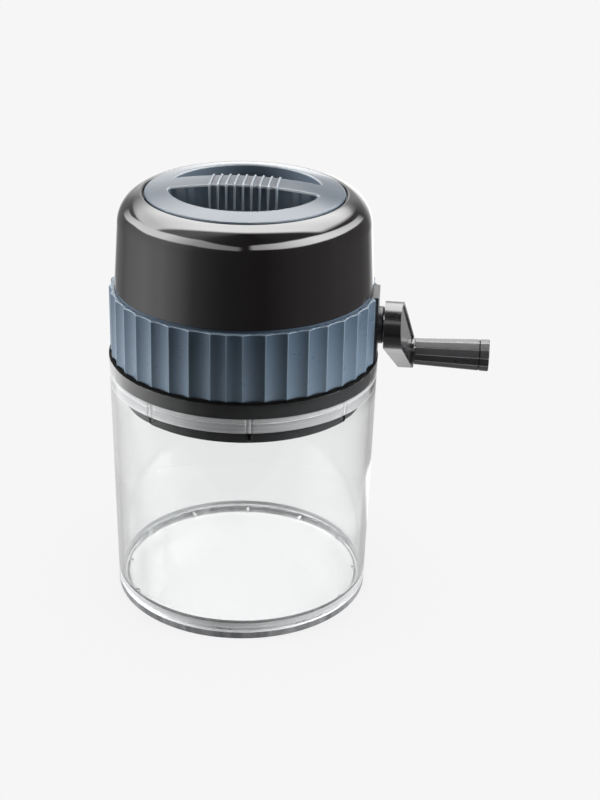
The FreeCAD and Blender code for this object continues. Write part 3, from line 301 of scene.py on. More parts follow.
def bearing_of(tree, x, y):
    """Angle in degrees about the object's axis, 0 in front and positive to the right."""
    back = maths(tree, "MULTIPLY", y, -1.0)
    return maths(tree, "MULTIPLY", maths(tree, "ARCTAN2", x, back), 180 / math.pi)


def noise(tree, scale, detail=2.0, stretch=(1.0, 1.0, 1.0)):
    """Noise on the object's own coordinates, in features per metre."""
    place = tree.nodes.new("ShaderNodeTexCoord")
    mapping = tree.nodes.new("ShaderNodeMapping")
    mapping.inputs["Scale"].default_value = stretch
    field = tree.nodes.new("ShaderNodeTexNoise")
    field.inputs["Scale"].default_value = scale
    field.inputs["Detail"].default_value = detail
    tree.links.new(place.outputs["Object"], mapping.inputs["Vector"])
    tree.links.new(mapping.outputs["Vector"], field.inputs["Vector"])
    return field.outputs["Fac"]


def tinted(tree, source, colour, spread):
    """Colour that wanders a little each way from the written one."""
    ramp = tree.nodes.new("ShaderNodeValToRGB")
    low, high = ramp.color_ramp.elements
    low.position, high.position = 0.3, 0.7
    low.color = rgba(c * (1 - spread) for c in colour)
    high.color = rgba(c * (1 + spread) for c in colour)
    tree.links.new(source, ramp.inputs["Fac"])
    return ramp.outputs["Color"]


def bump(tree, shader, source, height, before=None):
    node = tree.nodes.new("ShaderNodeBump")
    node.inputs["Distance"].default_value = height
    node.inputs["Strength"].default_value = 1.0
    tree.links.new(source, node.inputs["Height"])
    if before is not None:
        tree.links.new(before, node.inputs["Normal"])
    tree.links.new(node.outputs["Normal"], shader.inputs["Normal"])
    return node.outputs["Normal"]


# ---------------------------------------------------------------- materials
def new_material(name):
    made = bpy.data.materials.new(name)
    made.use_nodes = True
    tree = made.node_tree
    shader = tree.nodes["Principled BSDF"]
    return made, tree, shader


def uneven_gloss(tree, shader, source, low, high, *window):
    """Roughness that follows a noise between low and high."""
    tree.links.new(ranged(tree, source, low, high, *window), shader.inputs["Roughness"])


def plastic(name, colour, rough, spread=0.06, grain=2600.0, grain_height=0.004 * MM, wave=0.0,
            wear_and_light=None, ior=1.5):
    """Moulded plastic: faint mottling, uneven gloss and a fine spark-eroded grain."""
    made, tree, shader = new_material(name)
    base = tinted(tree, noise(tree, 60.0, 4.0), colour, spread)
    # lighter colour by the attribute's share: edge wear, painted highlight and painted light
    if wear_and_light is not None:
        shares = tree.nodes.new("ShaderNodeAttribute")
        shares.attribute_name = WEAR_AND_LIGHT
        base = mixed_colour(tree, shares.outputs["Fac"], base, rgba(wear_and_light))
    tree.links.new(base, shader.inputs["Base Color"])
    uneven_gloss(tree, shader, noise(tree, 140.0, 5.0), rough * 0.88, rough * 1.14)
    normal = bump(tree, shader, noise(tree, grain, 2.0), grain_height)
    if wave:
        bump(tree, shader, noise(tree, 38.0, 1.0), wave, normal)
    shader.inputs["IOR"].default_value = ior
    return made


def steel(name, colour, rough, stretch):
    """Brushed steel: grooves drawn out along one direction, with duller patches."""
    made, tree, shader = new_material(name)
    grooves = noise(tree, 900.0, 3.0, stretch)
    tree.links.new(tinted(tree, grooves, colour, 0.10), shader.inputs["Base Color"])
    uneven_gloss(tree, shader, noise(tree, 90.0, 4.0), rough * 0.75, rough * 1.3)
    bump(tree, shader, grooves, 0.003 * MM)
    shader.inputs["Metallic"].default_value = 1.0
    return made


def streaked_band(name, colour, rough, mirror, scale=110.0, stretch=(0.12, 0.12, 9.0), spread=0.22):
    """Streaked band in the clear wall: frost, and painted shade, haze, highlight and reflection."""
    made, tree, shader = new_material(name)
    streaks = noise(tree, scale, 4.0, stretch)
    tree.links.new(tinted(tree, streaks, colour, spread), shader.inputs["Base Color"])
    uneven_gloss(tree, shader, noise(tree, 90.0, 3.0), rough * 0.8, rough * 1.2)
    bump(tree, shader, streaks, 0.01 * MM)
    shader.inputs["Metallic"].default_value = mirror
    return made


def clear_plastic(name):
    """Clear moulded plastic: nearly smooth, with the soft waves of a moulding and faint scuffs.

    Light that falls through it on other things passes straight; where gloss shows it, its colour
    is painted greyer, a painted shade.
    """
    made, tree, shader = new_material(name)
    path = tree.nodes.new("ShaderNodeLightPath")
    # painted shade: greyer where gloss shows it
    in_gloss = ranged(tree, path.outputs["Glossy Depth"], 0.0, 1.0, 0.0, 1.0)
    tree.links.new(mixed_colour(tree, in_gloss, rgba(CLEAR), rgba(CLEAR_SHADED_IN_GLOSS)),
                   shader.inputs["Base Color"])
    shader.inputs["Transmission Weight"].default_value = 1.0
    shader.inputs["IOR"].default_value = 1.5
    scuffs = noise(tree, 420.0, 6.0, (1.0, 1.0, 0.35))
    uneven_gloss(tree, shader, scuffs, 0.015, 0.06, 0.45, 0.75)
    bump(tree, shader, noise(tree, 22.0, 1.0, (1.0, 1.0, 0.5)), 0.03 * MM)
    see_through = tree.nodes.new("ShaderNodeBsdfTransparent")
    see_through.inputs["Color"].default_value = rgba(CLEAR_SHADOW)
    passing = maths(tree, "MAXIMUM", path.outputs["Is Shadow Ray"], path.outputs["Is Diffuse Ray"])
    show(tree, mixed_shader(tree, passing, shader.outputs["BSDF"], see_through.outputs["BSDF"]))
    return made


paints = {
    "clear_plastic": clear_plastic("clear_plastic_look"),
    "frame_black": plastic("frame_black_look", FRAME_BLACK, 0.34, ior=1.33),
    "slate_plastic": plastic("slate_look", SLATE, 0.30, spread=0.05, grain=1500.0,
                             grain_height=0.0006 * MM, wear_and_light=SLATE_WEAR_AND_HIGHLIGHT, ior=1.36),
    "dome_black": plastic("dome_black_look", DOME_BLACK, 0.07, spread=0.10,
                          grain_height=0.0006 * MM, wave=0.01 * MM),
    "inner_grey": plastic("inner_grey_look", INNER_GREY, 0.42),
    "lid_slate": plastic("lid_slate_look", LID_SLATE, 0.14, spread=0.03, grain=1500.0,
                         grain_height=0.0008 * MM, wear_and_light=LID_WEAR_AND_PAINTED_LIGHT, ior=1.30),
    "lid_ribs": plastic("lid_ribs_look", LID_SLATE, 0.22, spread=0.03,
                        grain_height=0.0008 * MM, wear_and_light=RIB_PAINTED_HIGHLIGHT),
    # bands inside the clear cup: painted reflection, haze, shade and highlight
    "ledge_frost": streaked_band("painted_light_grey_look", PAINTED_LIGHT_GREY, 0.35, 0.4),
    "foot_frost": streaked_band("foot_frost_and_shade_look", FOOT_FROST_AND_SHADE, 0.30, 0.25, 150.0, (1.0, 1.0, 0.2), 0.55),
    "foot_glint": streaked_band("foot_glint_look", FOOT_GLINT, 0.28, 0.9, 60.0, (1.0, 1.0, 0.2), 0.15),
    "bush_plastic": plastic("bush_look", BUSH, 0.45),
    "seal_rubber": plastic("rubber_look", RUBBER, 0.65, grain=1800.0),
    "rim_rubber": plastic("rim_painted_shadow_look", RIM_SHADOW_BLACK, 0.80, grain=1800.0, ior=1.12),
    "crank_black": plastic("crank_black_look", CRANK_BLACK, 0.22, spread=0.10, grain=900.0,
                           grain_height=0.012 * MM, wave=0.25 * MM),
    "crank_inlay": plastic("inlay_look", INLAY, 0.14, spread=0.10),
    "grip_black": plastic("grip_look", GRIP_BLACK, 0.30, spread=0.10, grain=1500.0,
                          wear_and_light=GRIP_WEAR_AND_HIGHLIGHT, ior=1.42),
    "shaft_steel": steel("shaft_look", STEEL, 0.22, (1.0, 0.15, 0.15)),
    "screw_steel": steel("screw_look", SCREW, 0.42, (0.3, 0.3, 1.0)),
    "spacer_steel": steel("spacer_look", STEEL, 0.30, (1.0, 0.2, 0.2)),
    "blade_steel": steel("blade_look", BLADE, 0.25, (1.0, 0.12, 1.0)),
}


# ---------------------------------------------------------------- mesh helpers
def body_of(node_name):
    for body, listed in frame["record"]["behaviour"]["bodies"].items():
        if node_name in listed:
            return body
    raise ValueError(node_name)


def new_mesh(name, verts, faces):
    mesh = bpy.data.meshes.new(name)
    mesh.from_pydata(verts, [], faces)
    return mesh


def write_wear_and_light(mesh, shares):
    """Share of wear and painted light at each point, which the paints read."""
    mesh.attributes.new(WEAR_AND_LIGHT, "FLOAT", "POINT").data.foreach_set("value", shares)


def weigh_normals(piece):
    """Keep the flat faces flat beside small rounds."""
    normals = piece.modifiers.new("face_normals", "WEIGHTED_NORMAL")
    normals.keep_sharp = True
    normals.weight = 60


def linked_piece(mesh, paint, sharp=None):
    """Object for a mesh given in millimetres, smooth but for edges sharper than sharp degrees."""
    mesh.transform(Matrix.Scale(MM, 4))
    mesh.update()
    mesh.shade_smooth()
    if sharp is not None:
        mesh.set_sharp_from_angle(angle=math.radians(sharp))
    piece = bpy.data.objects.new(mesh.name, mesh)
    scene.collection.objects.link(piece)
    mesh.materials.append(paints[paint])
    return piece


def finish_mesh(mesh, slot, node_name, sharp=40.0):
    """Piece that stands for a CAD node and rides with its body."""
    piece = linked_piece(mesh, slot, sharp)
    weigh_normals(piece)
    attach(piece, body_of(node_name))
    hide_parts(node_name)


def add_to_node(mesh, paint, node_name, sharp=None):
    """Piece that adds to a CAD node and rides with its body."""
    piece = linked_piece(mesh, paint, sharp)
    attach(piece, body_of(node_name))


def rounded_profile(corners, steps=5):
    """Points of a profile whose corners (r, z, round) are rounded with small arcs."""
    points = []
    count = len(corners)
    for index, corner in enumerate(corners):
        radius = corner[2] if len(corner) > 2 else 0.0
        here = Vector(corner[:2])
        if radius == 0.0:
            points.append(here)
            continue
        before = (Vector(corners[index - 1][:2]) - here).normalized()
        after = (Vector(corners[(index + 1) % count][:2]) - here).normalized()
        half = before.angle(after) / 2
        reach = radius / math.tan(half)
        centre = here + (before + after).normalized() * (radius / math.sin(half))
        start, end = here + before * reach, here + after * reach
        first, last = start - centre, end - centre
        sweep = first.angle_signed(last)
        for step in range(steps + 1):
            turn = Matrix.Rotation(-sweep * step / steps, 2)
            points.append(centre + turn @ first)
    return [(point.x, point.y) for point in points]


def arc_points(centre, radius, start, end, steps):
    """Points (r, z) along an arc, angles in radians from the outward direction."""
    made = []
    for step in range(steps + 1):
        angle = start + (end - start) * step / steps
        made.append((centre[0] + radius * math.cos(angle), centre[1] + radius * math.sin(angle)))
    return made


def quarter_turn(steps):
    """Sine and cosine at equal steps from 0 to 90 degrees."""
    angles = [math.pi / 2 * step / steps for step in range(steps + 1)]
    return [(math.sin(angle), math.cos(angle)) for angle in angles]


def wrapped(angle):
    """The same angle between minus and plus half a turn."""
    return (angle + math.pi) % (2 * math.pi) - math.pi


def loop_strip(faces, first, second, count):
    """Quads between two closed loops of vertex numbers that start at first and second."""
    for index in range(count):
        after = (index + 1) % count
        faces.append((first + index, first + after, second + after, second + index))


def circle_points(radius, segments):
    angles = [2 * math.pi * index / segments for index in range(segments)]
    return [(radius * math.cos(angle), radius * math.sin(angle)) for angle in angles]


def turned_points(profile, segments):
    """Vertices of points (r, z) turned about Z, loop by loop."""
    return [(x, y, z) for radius, z in profile for x, y in circle_points(radius, segments)]


def turned_mesh(name, profile, closed=True):
    """Surface of revolution about Z from points (r, z)."""
    verts, faces = turned_points(profile, TURN_SEGMENTS), []
    rows = len(profile)
    for row in range(rows if closed else rows - 1):
        loop_strip(faces, row * TURN_SEGMENTS, (row + 1) % rows * TURN_SEGMENTS, TURN_SEGMENTS)
    mesh = new_mesh(name, verts, faces)
    tidy_normals(mesh)
    return mesh


def tidy_normals(mesh, merge=0.002):
    """Join points closer than merge and turn all faces outward."""
    work = bmesh.new()
    work.from_mesh(mesh)
    bmesh.ops.remove_doubles(work, verts=work.verts, dist=merge)
    bmesh.ops.recalc_face_normals(work, faces=work.faces)
    work.to_mesh(mesh)
    work.free()


# ---------------------------------------------------------------- dome
def make_dome():
    """Gloss dome with a large round shoulder, a rounded mouth and the seat for the lid."""
    lean = math.atan2(DOME_BOTTOM_RADIUS - DOME_SHOULDER_RADIUS, DOME_SHOULDER_Z - DOME_BOTTOM_Z)
    centre = (DOME_SHOULDER_RADIUS - DOME_ROUND * math.cos(lean),
              DOME_SHOULDER_Z - DOME_ROUND * math.sin(lean))
    mouth = math.acos((DOME_MOUTH_RADIUS - centre[0]) / DOME_ROUND)
    outer = arc_points(centre, DOME_ROUND, lean, mouth - DOME_MOUTH_MARGIN, 28)
    inner_round = DOME_ROUND - DOME_WALL
    inner_end = math.acos((DOME_MOUTH_RADIUS + DOME_WALL - centre[0]) / inner_round)
    inner = arc_points(centre, inner_round, inner_end, lean, 16)
    edge = arc_points(centre, DOME_ROUND, mouth, mouth, 1)[0]
    corners = [(DOME_LAP_RADIUS, DOME_BOTTOM_Z),
               (DOME_BOTTOM_RADIUS, DOME_BOTTOM_Z, DOME_FOOT_ROUND)]
    corners += outer
    corners += [edge + (DOME_MOUTH_ROUND,), (DOME_MOUTH_RADIUS, SEAT_Z),
                (NECK_RADIUS, SEAT_Z, NECK_ROUND), (NECK_RADIUS, SEAT_UNDER_Z),
                (inner[0][0], SEAT_UNDER_Z)]
    corners += inner
    corners += [(DOME_LAP_RADIUS - DOME_LAP_STEP, DOME_LAP_Z), (DOME_LAP_RADIUS, DOME_LAP_Z)]
    finish_mesh(turned_mesh("dome_shell", rounded_profile(corners)), "dome_black", "dome_housing")


# ---------------------------------------------------------------- lid
def crown_z(x, y):
    return LID_TOP_Z - (x * x + y * y) / (2 * LID_CROWN_RADIUS)


def under_crown_z(x, y):
    return crown_z(x, y) - LID_WALL


def pit_outline(side):
    """Points and outward directions round a finger pit: a disc segment with rounded tips."""
    tip_y = PIT_HALF_BAR + PIT_TIP_ROUND
    tip_x = math.sqrt((PIT_RADIUS - PIT_TIP_ROUND) ** 2 - tip_y ** 2)
    tip_angle = math.atan2(tip_y, tip_x)
    tip_turn = math.pi / 2 + tip_angle
    outline = []

    def add(x, y, radius, angle):
        out = (math.cos(angle), math.sin(angle))
        outline.append(((x + radius * out[0], y + radius * out[1]), out))

    for step in range(PIT_STEPS + 1):
        add(0.0, 0.0, PIT_RADIUS, tip_angle + (math.pi - 2 * tip_angle) * step / PIT_STEPS)
    for step in range(1, PIT_TIP_STEPS + 1):
        add(-tip_x, tip_y, PIT_TIP_ROUND, math.pi - tip_angle + tip_turn * step / PIT_TIP_STEPS)
    for step in range(1, PIT_BAR_STEPS):
        outline.append(((-tip_x + 2 * tip_x * step / PIT_BAR_STEPS, PIT_HALF_BAR), (0.0, -1.0)))
    for step in range(PIT_TIP_STEPS):
        add(tip_x, tip_y, PIT_TIP_ROUND, -math.pi / 2 + tip_turn * step / PIT_TIP_STEPS)
    return [((p[0], side * p[1]), (n[0], side * n[1])) for p, n in outline]


def pit_profile():
    """Rows (offset, height, on floor) from a pit's top edge to its floor.

    The offset runs outward from the outline; the height is taken down from the crown, or up
    from the floor for the rows at the wall's foot.
    """
    made = [(PIT_EDGE_ROUND + PIT_EDGE_MARGIN, 0.0, False)]
    for sine, cosine in quarter_turn(PIT_ROUND_STEPS):
        made.append((PIT_EDGE_ROUND * (1 - sine), PIT_EDGE_ROUND * (1 - cosine), False))
    for sine, cosine in quarter_turn(PIT_ROUND_STEPS):
        made.append((-PIT_FLOOR_ROUND * (1 - cosine), PIT_FLOOR_ROUND * (1 - sine), True))
    return made


def inside(point, loop):
    hit = False
    for index, a in enumerate(loop):
        b = loop[(index + 1) % len(loop)]
        if (a[1] > point[1]) != (b[1] > point[1]):
            if point[0] < (b[0] - a[0]) * (point[1] - a[1]) / (b[1] - a[1]) + a[0]:
                hit = not hit
    return hit


def filled_crown(verts, faces, outer, holes, height):
    """Fine triangles over the crown between an outer loop and holes, all given as plan points."""
    points, edges = [], []
    for loop in [outer] + holes:
        start = len(points)
        points += [Vector(point) for point in loop]
        edges += [(start + i, start + (i + 1) % len(loop)) for i in range(len(loop))]
    count = int(LID_RADIUS / FILL_PITCH) + 1
    for column in range(-count, count + 1):
        for row in range(-count, count + 1):
            points.append(Vector(((column + 0.5 * (row % 2)) * FILL_PITCH,
                                  row * FILL_PITCH * FILL_ROW_SHARE)))
    flat, _, triangles, *_ = delaunay_2d_cdt(points, edges, [], 0, 1e-4)
    base = len(verts)
    verts += [(p.x, p.y, height(p.x, p.y)) for p in flat]
    for triangle in triangles:
        middle = sum((flat[i] for i in triangle), Vector((0, 0))) / 3
        if inside(middle, outer) and not any(inside(middle, hole) for hole in holes):
            faces.append(tuple(base + i for i in triangle))


def add_pit(verts, faces, side):
    """One finger pit and its underside; gives their plan loops at the crown."""
    outline = pit_outline(side)
    count = len(outline)
    rows = pit_profile()
    start = len(verts)
    for offset, height, on_floor in rows:
        for (px, py), (nx, ny) in outline:
            x, y = px + offset * nx, py + offset * ny
            verts.append((x, y, PIT_FLOOR_Z + height if on_floor else crown_z(x, y) - height))
    for row in range(len(rows) - 1):
        loop_strip(faces, start + row * count, start + (row + 1) * count, count)
    last = start + (len(rows) - 1) * count
    faces.append(tuple(range(last, last + count)))
    under = len(verts)
    for at_crown in (True, False):
        for (px, py), (nx, ny) in outline:
            x, y = px + PIT_WALL * nx, py + PIT_WALL * ny
            verts.append((x, y, under_crown_z(x, y) if at_crown else PIT_FLOOR_Z - PIT_WALL))
    loop_strip(faces, under, under + count, count)
    faces.append(tuple(range(under + count, under + 2 * count)))
    return [[vert[:2] for vert in verts[first:first + count]] for first in (start, under)]


def make_lid():
    """Lid with a low crown, a grooved plug and two finger pits with rounded edges."""
    crown_edge = LID_RADIUS - LID_EDGE_ROUND - LID_EDGE_MARGIN
    low = SEAT_Z - LID_PLUG_DEPTH
    groove = SEAT_Z - LID_PLUG_DEPTH / 2
    groove_radius = LID_PLUG_RADIUS - LID_GROOVE_DEPTH
    plug_inner = LID_PLUG_RADIUS - LID_WALL
    corners = [(crown_edge, crown_z(crown_edge, 0)),
               (LID_RADIUS, crown_z(LID_RADIUS, 0), LID_EDGE_ROUND),
               (LID_RADIUS, SEAT_Z, LID_SEAT_ROUND), (LID_PLUG_RADIUS, SEAT_Z),
               (LID_PLUG_RADIUS, groove + LID_GROOVE_HALF),
               (groove_radius, groove + LID_GROOVE_HALF),
               (groove_radius, groove - LID_GROOVE_HALF),
               (LID_PLUG_RADIUS, groove - LID_GROOVE_HALF),
               (LID_PLUG_RADIUS, low, LID_PLUG_ROUND), (plug_inner, low, LID_PLUG_ROUND),
               (plug_inner, under_crown_z(plug_inner, 0))]
    profile = rounded_profile(corners, 6)
    verts, faces = turned_points(profile, LID_SEGMENTS), []
    for row in range(len(profile) - 1):
        loop_strip(faces, row * LID_SEGMENTS, (row + 1) * LID_SEGMENTS, LID_SEGMENTS)
    top_holes, under_holes = zip(*[add_pit(verts, faces, side) for side in (-1, 1)])
    filled_crown(verts, faces, circle_points(crown_edge, LID_SEGMENTS), list(top_holes), crown_z)
    filled_crown(verts, faces, circle_points(plug_inner, LID_SEGMENTS), list(under_holes),
                 under_crown_z)
    mesh = new_mesh("lid_top", verts, faces)
    tidy_normals(mesh, 0.01)
    write_wear_and_light(mesh, [lid_wear_and_painted_light(vertex.co) for vertex in mesh.vertices])
    finish_mesh(mesh, "lid_slate", "lid_cap", 50.0)


def lid_wear_and_painted_light(point):
    """Share of wear and painted highlight on pit edges, of painted light on the bar's front."""
    depth = crown_z(point.x, point.y) - point.z
    on_bar_front = abs(point.y + PIT_HALF_BAR) < 1.0 and point.z > PIT_FLOOR_Z + 0.1
    if depth > PIT_EDGE_ROUND and on_bar_front:
        return BAR_FRONT_PAINTED_LIGHT
    beyond_pits = math.hypot(point.x, point.y) > PIT_RADIUS + PIT_EDGE_ROUND
    if depth > PIT_EDGE_ROUND or beyond_pits or depth <= 0.02:
        return 0.0
    return 4 * depth * (PIT_EDGE_ROUND - depth) / PIT_EDGE_ROUND ** 2


def rib_path(x):
    """Points (y, z) and outward directions over the finger bar from wall foot to wall foot."""
    top = crown_z(x, 0)
    edge_z = crown_z(x, PIT_HALF_BAR)
    bend = PIT_EDGE_ROUND
    halves = []
    for side in (-1, 1):
        half = [((side * PIT_HALF_BAR, PIT_FLOOR_Z + PIT_FLOOR_ROUND), (side, 0.0)),
                ((side * PIT_HALF_BAR, edge_z - RIB_WALL_STEP), (side, 0.0))]
        for sine, cosine in quarter_turn(RIB_ARC_STEPS):
            half.append(((side * (PIT_HALF_BAR - bend + bend * cosine),
                          edge_z - bend + bend * sine), (side * cosine, sine)))
        half.append(((side * PIT_HALF_BAR / 2, (top + edge_z) / 2 + (top - edge_z) / 4),
                     (0.0, 1.0)))
        halves.append(half)
    return halves[0] + [((0.0, top), (0.0, 1.0))] + halves[1][::-1]


def make_lid_ribs():
    """Rounded ribs over the finger bar and down both walls, their crests a painted highlight."""
    verts, faces, crest_highlight = [], [], []
    section = [(-RIB_WIDTH / 2, -RIB_SINK)]
    for step in range(RIB_ARC_STEPS + 1):
        angle = math.pi * (1 - step / RIB_ARC_STEPS)
        section.append((RIB_WIDTH / 2 * math.cos(angle),
                        RIB_SHOULDER + (RIB_HEIGHT - RIB_SHOULDER) * math.sin(angle)))
    section.append((RIB_WIDTH / 2, -RIB_SINK))
    across = len(section)
    for index in range(RIBS):
        x = (index - (RIBS - 1) / 2) * RIB_PITCH
        path = rib_path(x)
        start = len(verts)
        for (y, z), (ny, nz) in path:
            for sx, out in section:
                verts.append((x + sx, y + ny * out, z + nz * out))
                share = (out - RIB_HIGHLIGHT_START) / (RIB_HEIGHT - RIB_HIGHLIGHT_START)
                crest_highlight.append(max(0.0, min(1.0, share)))
        for row in range(len(path) - 1):
            loop_strip(faces, start + row * across, start + (row + 1) * across, across)
        last = start + (len(path) - 1) * across
        faces.append(tuple(range(start, start + across)))
        faces.append(tuple(range(last, last + across)))
    mesh = new_mesh("lid_ribs", verts, faces)
    write_wear_and_light(mesh, crest_highlight)
    tidy_normals(mesh)
    add_to_node(mesh, "lid_ribs", "lid_cap", 60.0)


# ---------------------------------------------------------------- fluted ring
def ring_stations():
    """Angles round the ring with how far each lies below the ridges, close at the ridges."""
    wide = (360.0 - NARROW_FLUTES * NARROW_FLUTE_ANGLE) / WIDE_FLUTES
    angle = -90.0 - NARROW_FLUTE_ANGLE * NARROW_FLUTES / 2
    made = []
    for index in range(NARROW_FLUTES + WIDE_FLUTES):
        width = NARROW_FLUTE_ANGLE if index < NARROW_FLUTES else wide
        depth = RING_FLUTE_DEPTH * (width / wide) ** 2
        for share in FLUTE_SHARES:
            hollow = 4 * share * (1 - share)
            soft = (math.sqrt(hollow ** 2 + (4 * RING_RIDGE_ROUND) ** 2)
                    - 4 * RING_RIDGE_ROUND)
            made.append((math.radians(angle + share * width), depth * soft))
        angle += width
    return made


def make_ring():
    """C-shaped ring with flutes all round, open where the bearing block sits."""
    stations = ring_stations()
    count = len(stations)
    outer = [(RING_EDGE_Z + rise, inset) for rise, inset in RING_LOW_EDGE]
    outer.append((RING_FACE_Z, 0.0))
    for sine, cosine in quarter_turn(5):
        outer.append((RING_TOP_Z - RING_EDGE_ROUND * (1 - sine), RING_EDGE_ROUND * (1 - cosine)))
    rows = [[(RING_RIDGE_RADIUS - drop - inset, z) for _, drop in stations] for z, inset in outer]
    for corner in ((RING_LIP_RADIUS, RING_TOP_Z), (RING_LIP_RADIUS, DOME_BOTTOM_Z),
                   (RING_INNER_RADIUS, DOME_BOTTOM_Z), (RING_INNER_RADIUS, RING_LOW_Z),
                   (RING_LIP_RADIUS, RING_LOW_Z), (RING_LIP_RADIUS, RING_EDGE_Z)):
        rows.append([corner] * count)
    verts, faces = [], []
    for row in rows:
        for (angle, _), (radius, z) in zip(stations, row):
            gap = math.asin(BLOCK_GAP_HALF / radius)
            turn = wrapped(angle)
            if abs(turn) < gap:
                turn = math.copysign(gap, turn)
            verts.append((radius * math.cos(turn), radius * math.sin(turn), z))
    for row in range(len(rows)):
        here, following = row * count, (row + 1) % len(rows) * count
        for index in range(count):
            after = (index + 1) % count
            a, b = verts[here + index], verts[here + after]
            if a[0] > 0 and b[0] > 0 and a[1] < 0 < b[1]:
                continue
            faces.append((here + index, here + after, following + after, following + index))
    widest_gap = math.asin(BLOCK_GAP_HALF / RING_INNER_RADIUS)
    in_gap = [i for i, (angle, _) in enumerate(stations) if abs(wrapped(angle)) < widest_gap]
    for first in (in_gap[0], in_gap[-1]):
        faces.append(tuple(row * count + first for row in range(len(rows))))
    mesh = new_mesh("fluted_ring", verts, faces)
    tidy_normals(mesh)
    write_wear_and_light(mesh, [ring_wear_and_highlight(vertex.co) for vertex in mesh.vertices])
    finish_mesh(mesh, "slate_plastic", "grip_ring", 55.0)


def ring_wear_and_highlight(point):
    """Share of wear and painted highlight at a point: ridges, scalloped top edge and low edge."""
    radius = math.hypot(point.x, point.y)
    if radius < RING_RIDGE_RADIUS - RING_FLUTE_DEPTH - RING_WEAR_AND_HIGHLIGHT_MARGIN:
        return 0.0
    away = (RING_RIDGE_RADIUS - radius, abs(point.z - RING_TOP_Z), abs(point.z - RING_EDGE_Z))
    return max(share * max(0.0, 1.0 - distance / reach)
               for distance, (share, reach) in zip(away, RING_WEAR_AND_HIGHLIGHT))


# ---------------------------------------------------------------- cup
def make_ledge_band():
    """Painted reflection under the cup's ledge, where the clear moulding turns light back.

    It has a raised line on each side of every gusset.
    """
    stations = []
    for index in range(BAND_STATIONS):
        angle = 2 * math.pi * index / BAND_STATIONS
        lift = 0.0
        for gusset in range(GUSSETS):
            centre = math.radians(GUSSET_FIRST_ANGLE + 360.0 * gusset / GUSSETS)
            away = abs(wrapped(angle - centre)) * CUP_INNER_AT_LEDGE
            lift = max(lift, 1.0 - abs(away - GUSSET_LINE_OFFSET) / GUSSET_LINE_HALF)
        stations.append((angle, GUSSET_LINE_LIFT * lift))
    verts, faces = [], []
    for inset, drop in LEDGE_BAND:
        for angle, lift in stations:
            radius = CUP_INNER_AT_LEDGE - inset - lift
            verts.append((radius * math.cos(angle), radius * math.sin(angle), LEDGE_Z + drop))
    for row in range(len(LEDGE_BAND) - 1):
        loop_strip(faces, row * BAND_STATIONS, (row + 1) * BAND_STATIONS, BAND_STATIONS)
    mesh = new_mesh("ledge_band", verts, faces)
    add_to_node(mesh, "ledge_frost", "clear_cup")


def make_rim_shadow_lip():
    """Dark lip round the rim, a painted shadow: the thin shaded line between ring and cup."""
    add_to_node(turned_mesh("rim_shadow_lip", CUP_SHADOW_LIP, False), "rim_rubber",
                "clear_cup")


def make_foot_bands():
    """Foot in the wall: frost and painted shade, two bands of painted haze, a painted highlight."""
    for name, profile, paint in FOOT_BANDS:
        add_to_node(turned_mesh(name, profile, False), paint, "clear_cup")


# ---------------------------------------------------------------- crank grip
def node_box(name):
    """Low and high corners of a CAD node in millimetres."""
    points = [nodes[name].matrix_world @ vertex.co for vertex in nodes[name].data.vertices]
    return [[pick(point[axis] for point in points) / MM for axis in range(3)]
            for pick in (min, max)]


def grip_section():
    """Angles round the grip, how far each lies out, and shares of wear and painted highlight."""
    made = []
    sector = 2 * math.pi / GRIP_SIDES
    for side in range(GRIP_SIDES):
        corner = math.radians(GRIP_CORNER_ANGLE) + side * sector
        for step in range(-2, 3):
            off = step / 2 * GRIP_EDGE_HALF / GRIP_END_RADIUS
            flat = math.cos(sector / 2) / math.cos(sector / 2 - abs(off))
            cut = (0.5 * GRIP_EDGE_HALF * math.tan(sector / 2) / GRIP_END_RADIUS
                   * (1 - (step / 2) ** 2))
            made.append((corner + off, flat - cut, 1.0 - abs(step) / 2))
    return made


def make_grip_piece(name, node_name, rows):
    """Tapering piece from rows (x, inset or None, bore); the taper runs over both pieces."""
    low, high = node_box("crank_grip")
    end_x = node_box("grip_end_cap")[1][0]
    centre = ((low[1] + high[1]) / 2, (low[2] + high[2]) / 2)
    slope = (GRIP_END_RADIUS - GRIP_BASE_RADIUS) / (end_x - low[0])
    section = grip_section()
    count = len(section)
    verts, faces, wear_and_light = [], [], []
    for x, inset, bore in rows:
        full = GRIP_BASE_RADIUS + slope * (x - low[0])
        for angle, share, wear_and_highlight in section:
            radius = bore if inset is None else full * share - inset
            verts.append((x, centre[0] + radius * math.cos(angle),
                          centre[1] + radius * math.sin(angle)))
            wear_and_light.append(0.0 if inset is None or inset >= GRIP_END_BEVEL else wear_and_highlight)
    for row in range(len(rows)):
        loop_strip(faces, row * count, (row + 1) % len(rows) * count, count)
    mesh = new_mesh(name, verts, faces)
    write_wear_and_light(mesh, wear_and_light)
    tidy_normals(mesh)
    finish_mesh(mesh, "grip_black", node_name)


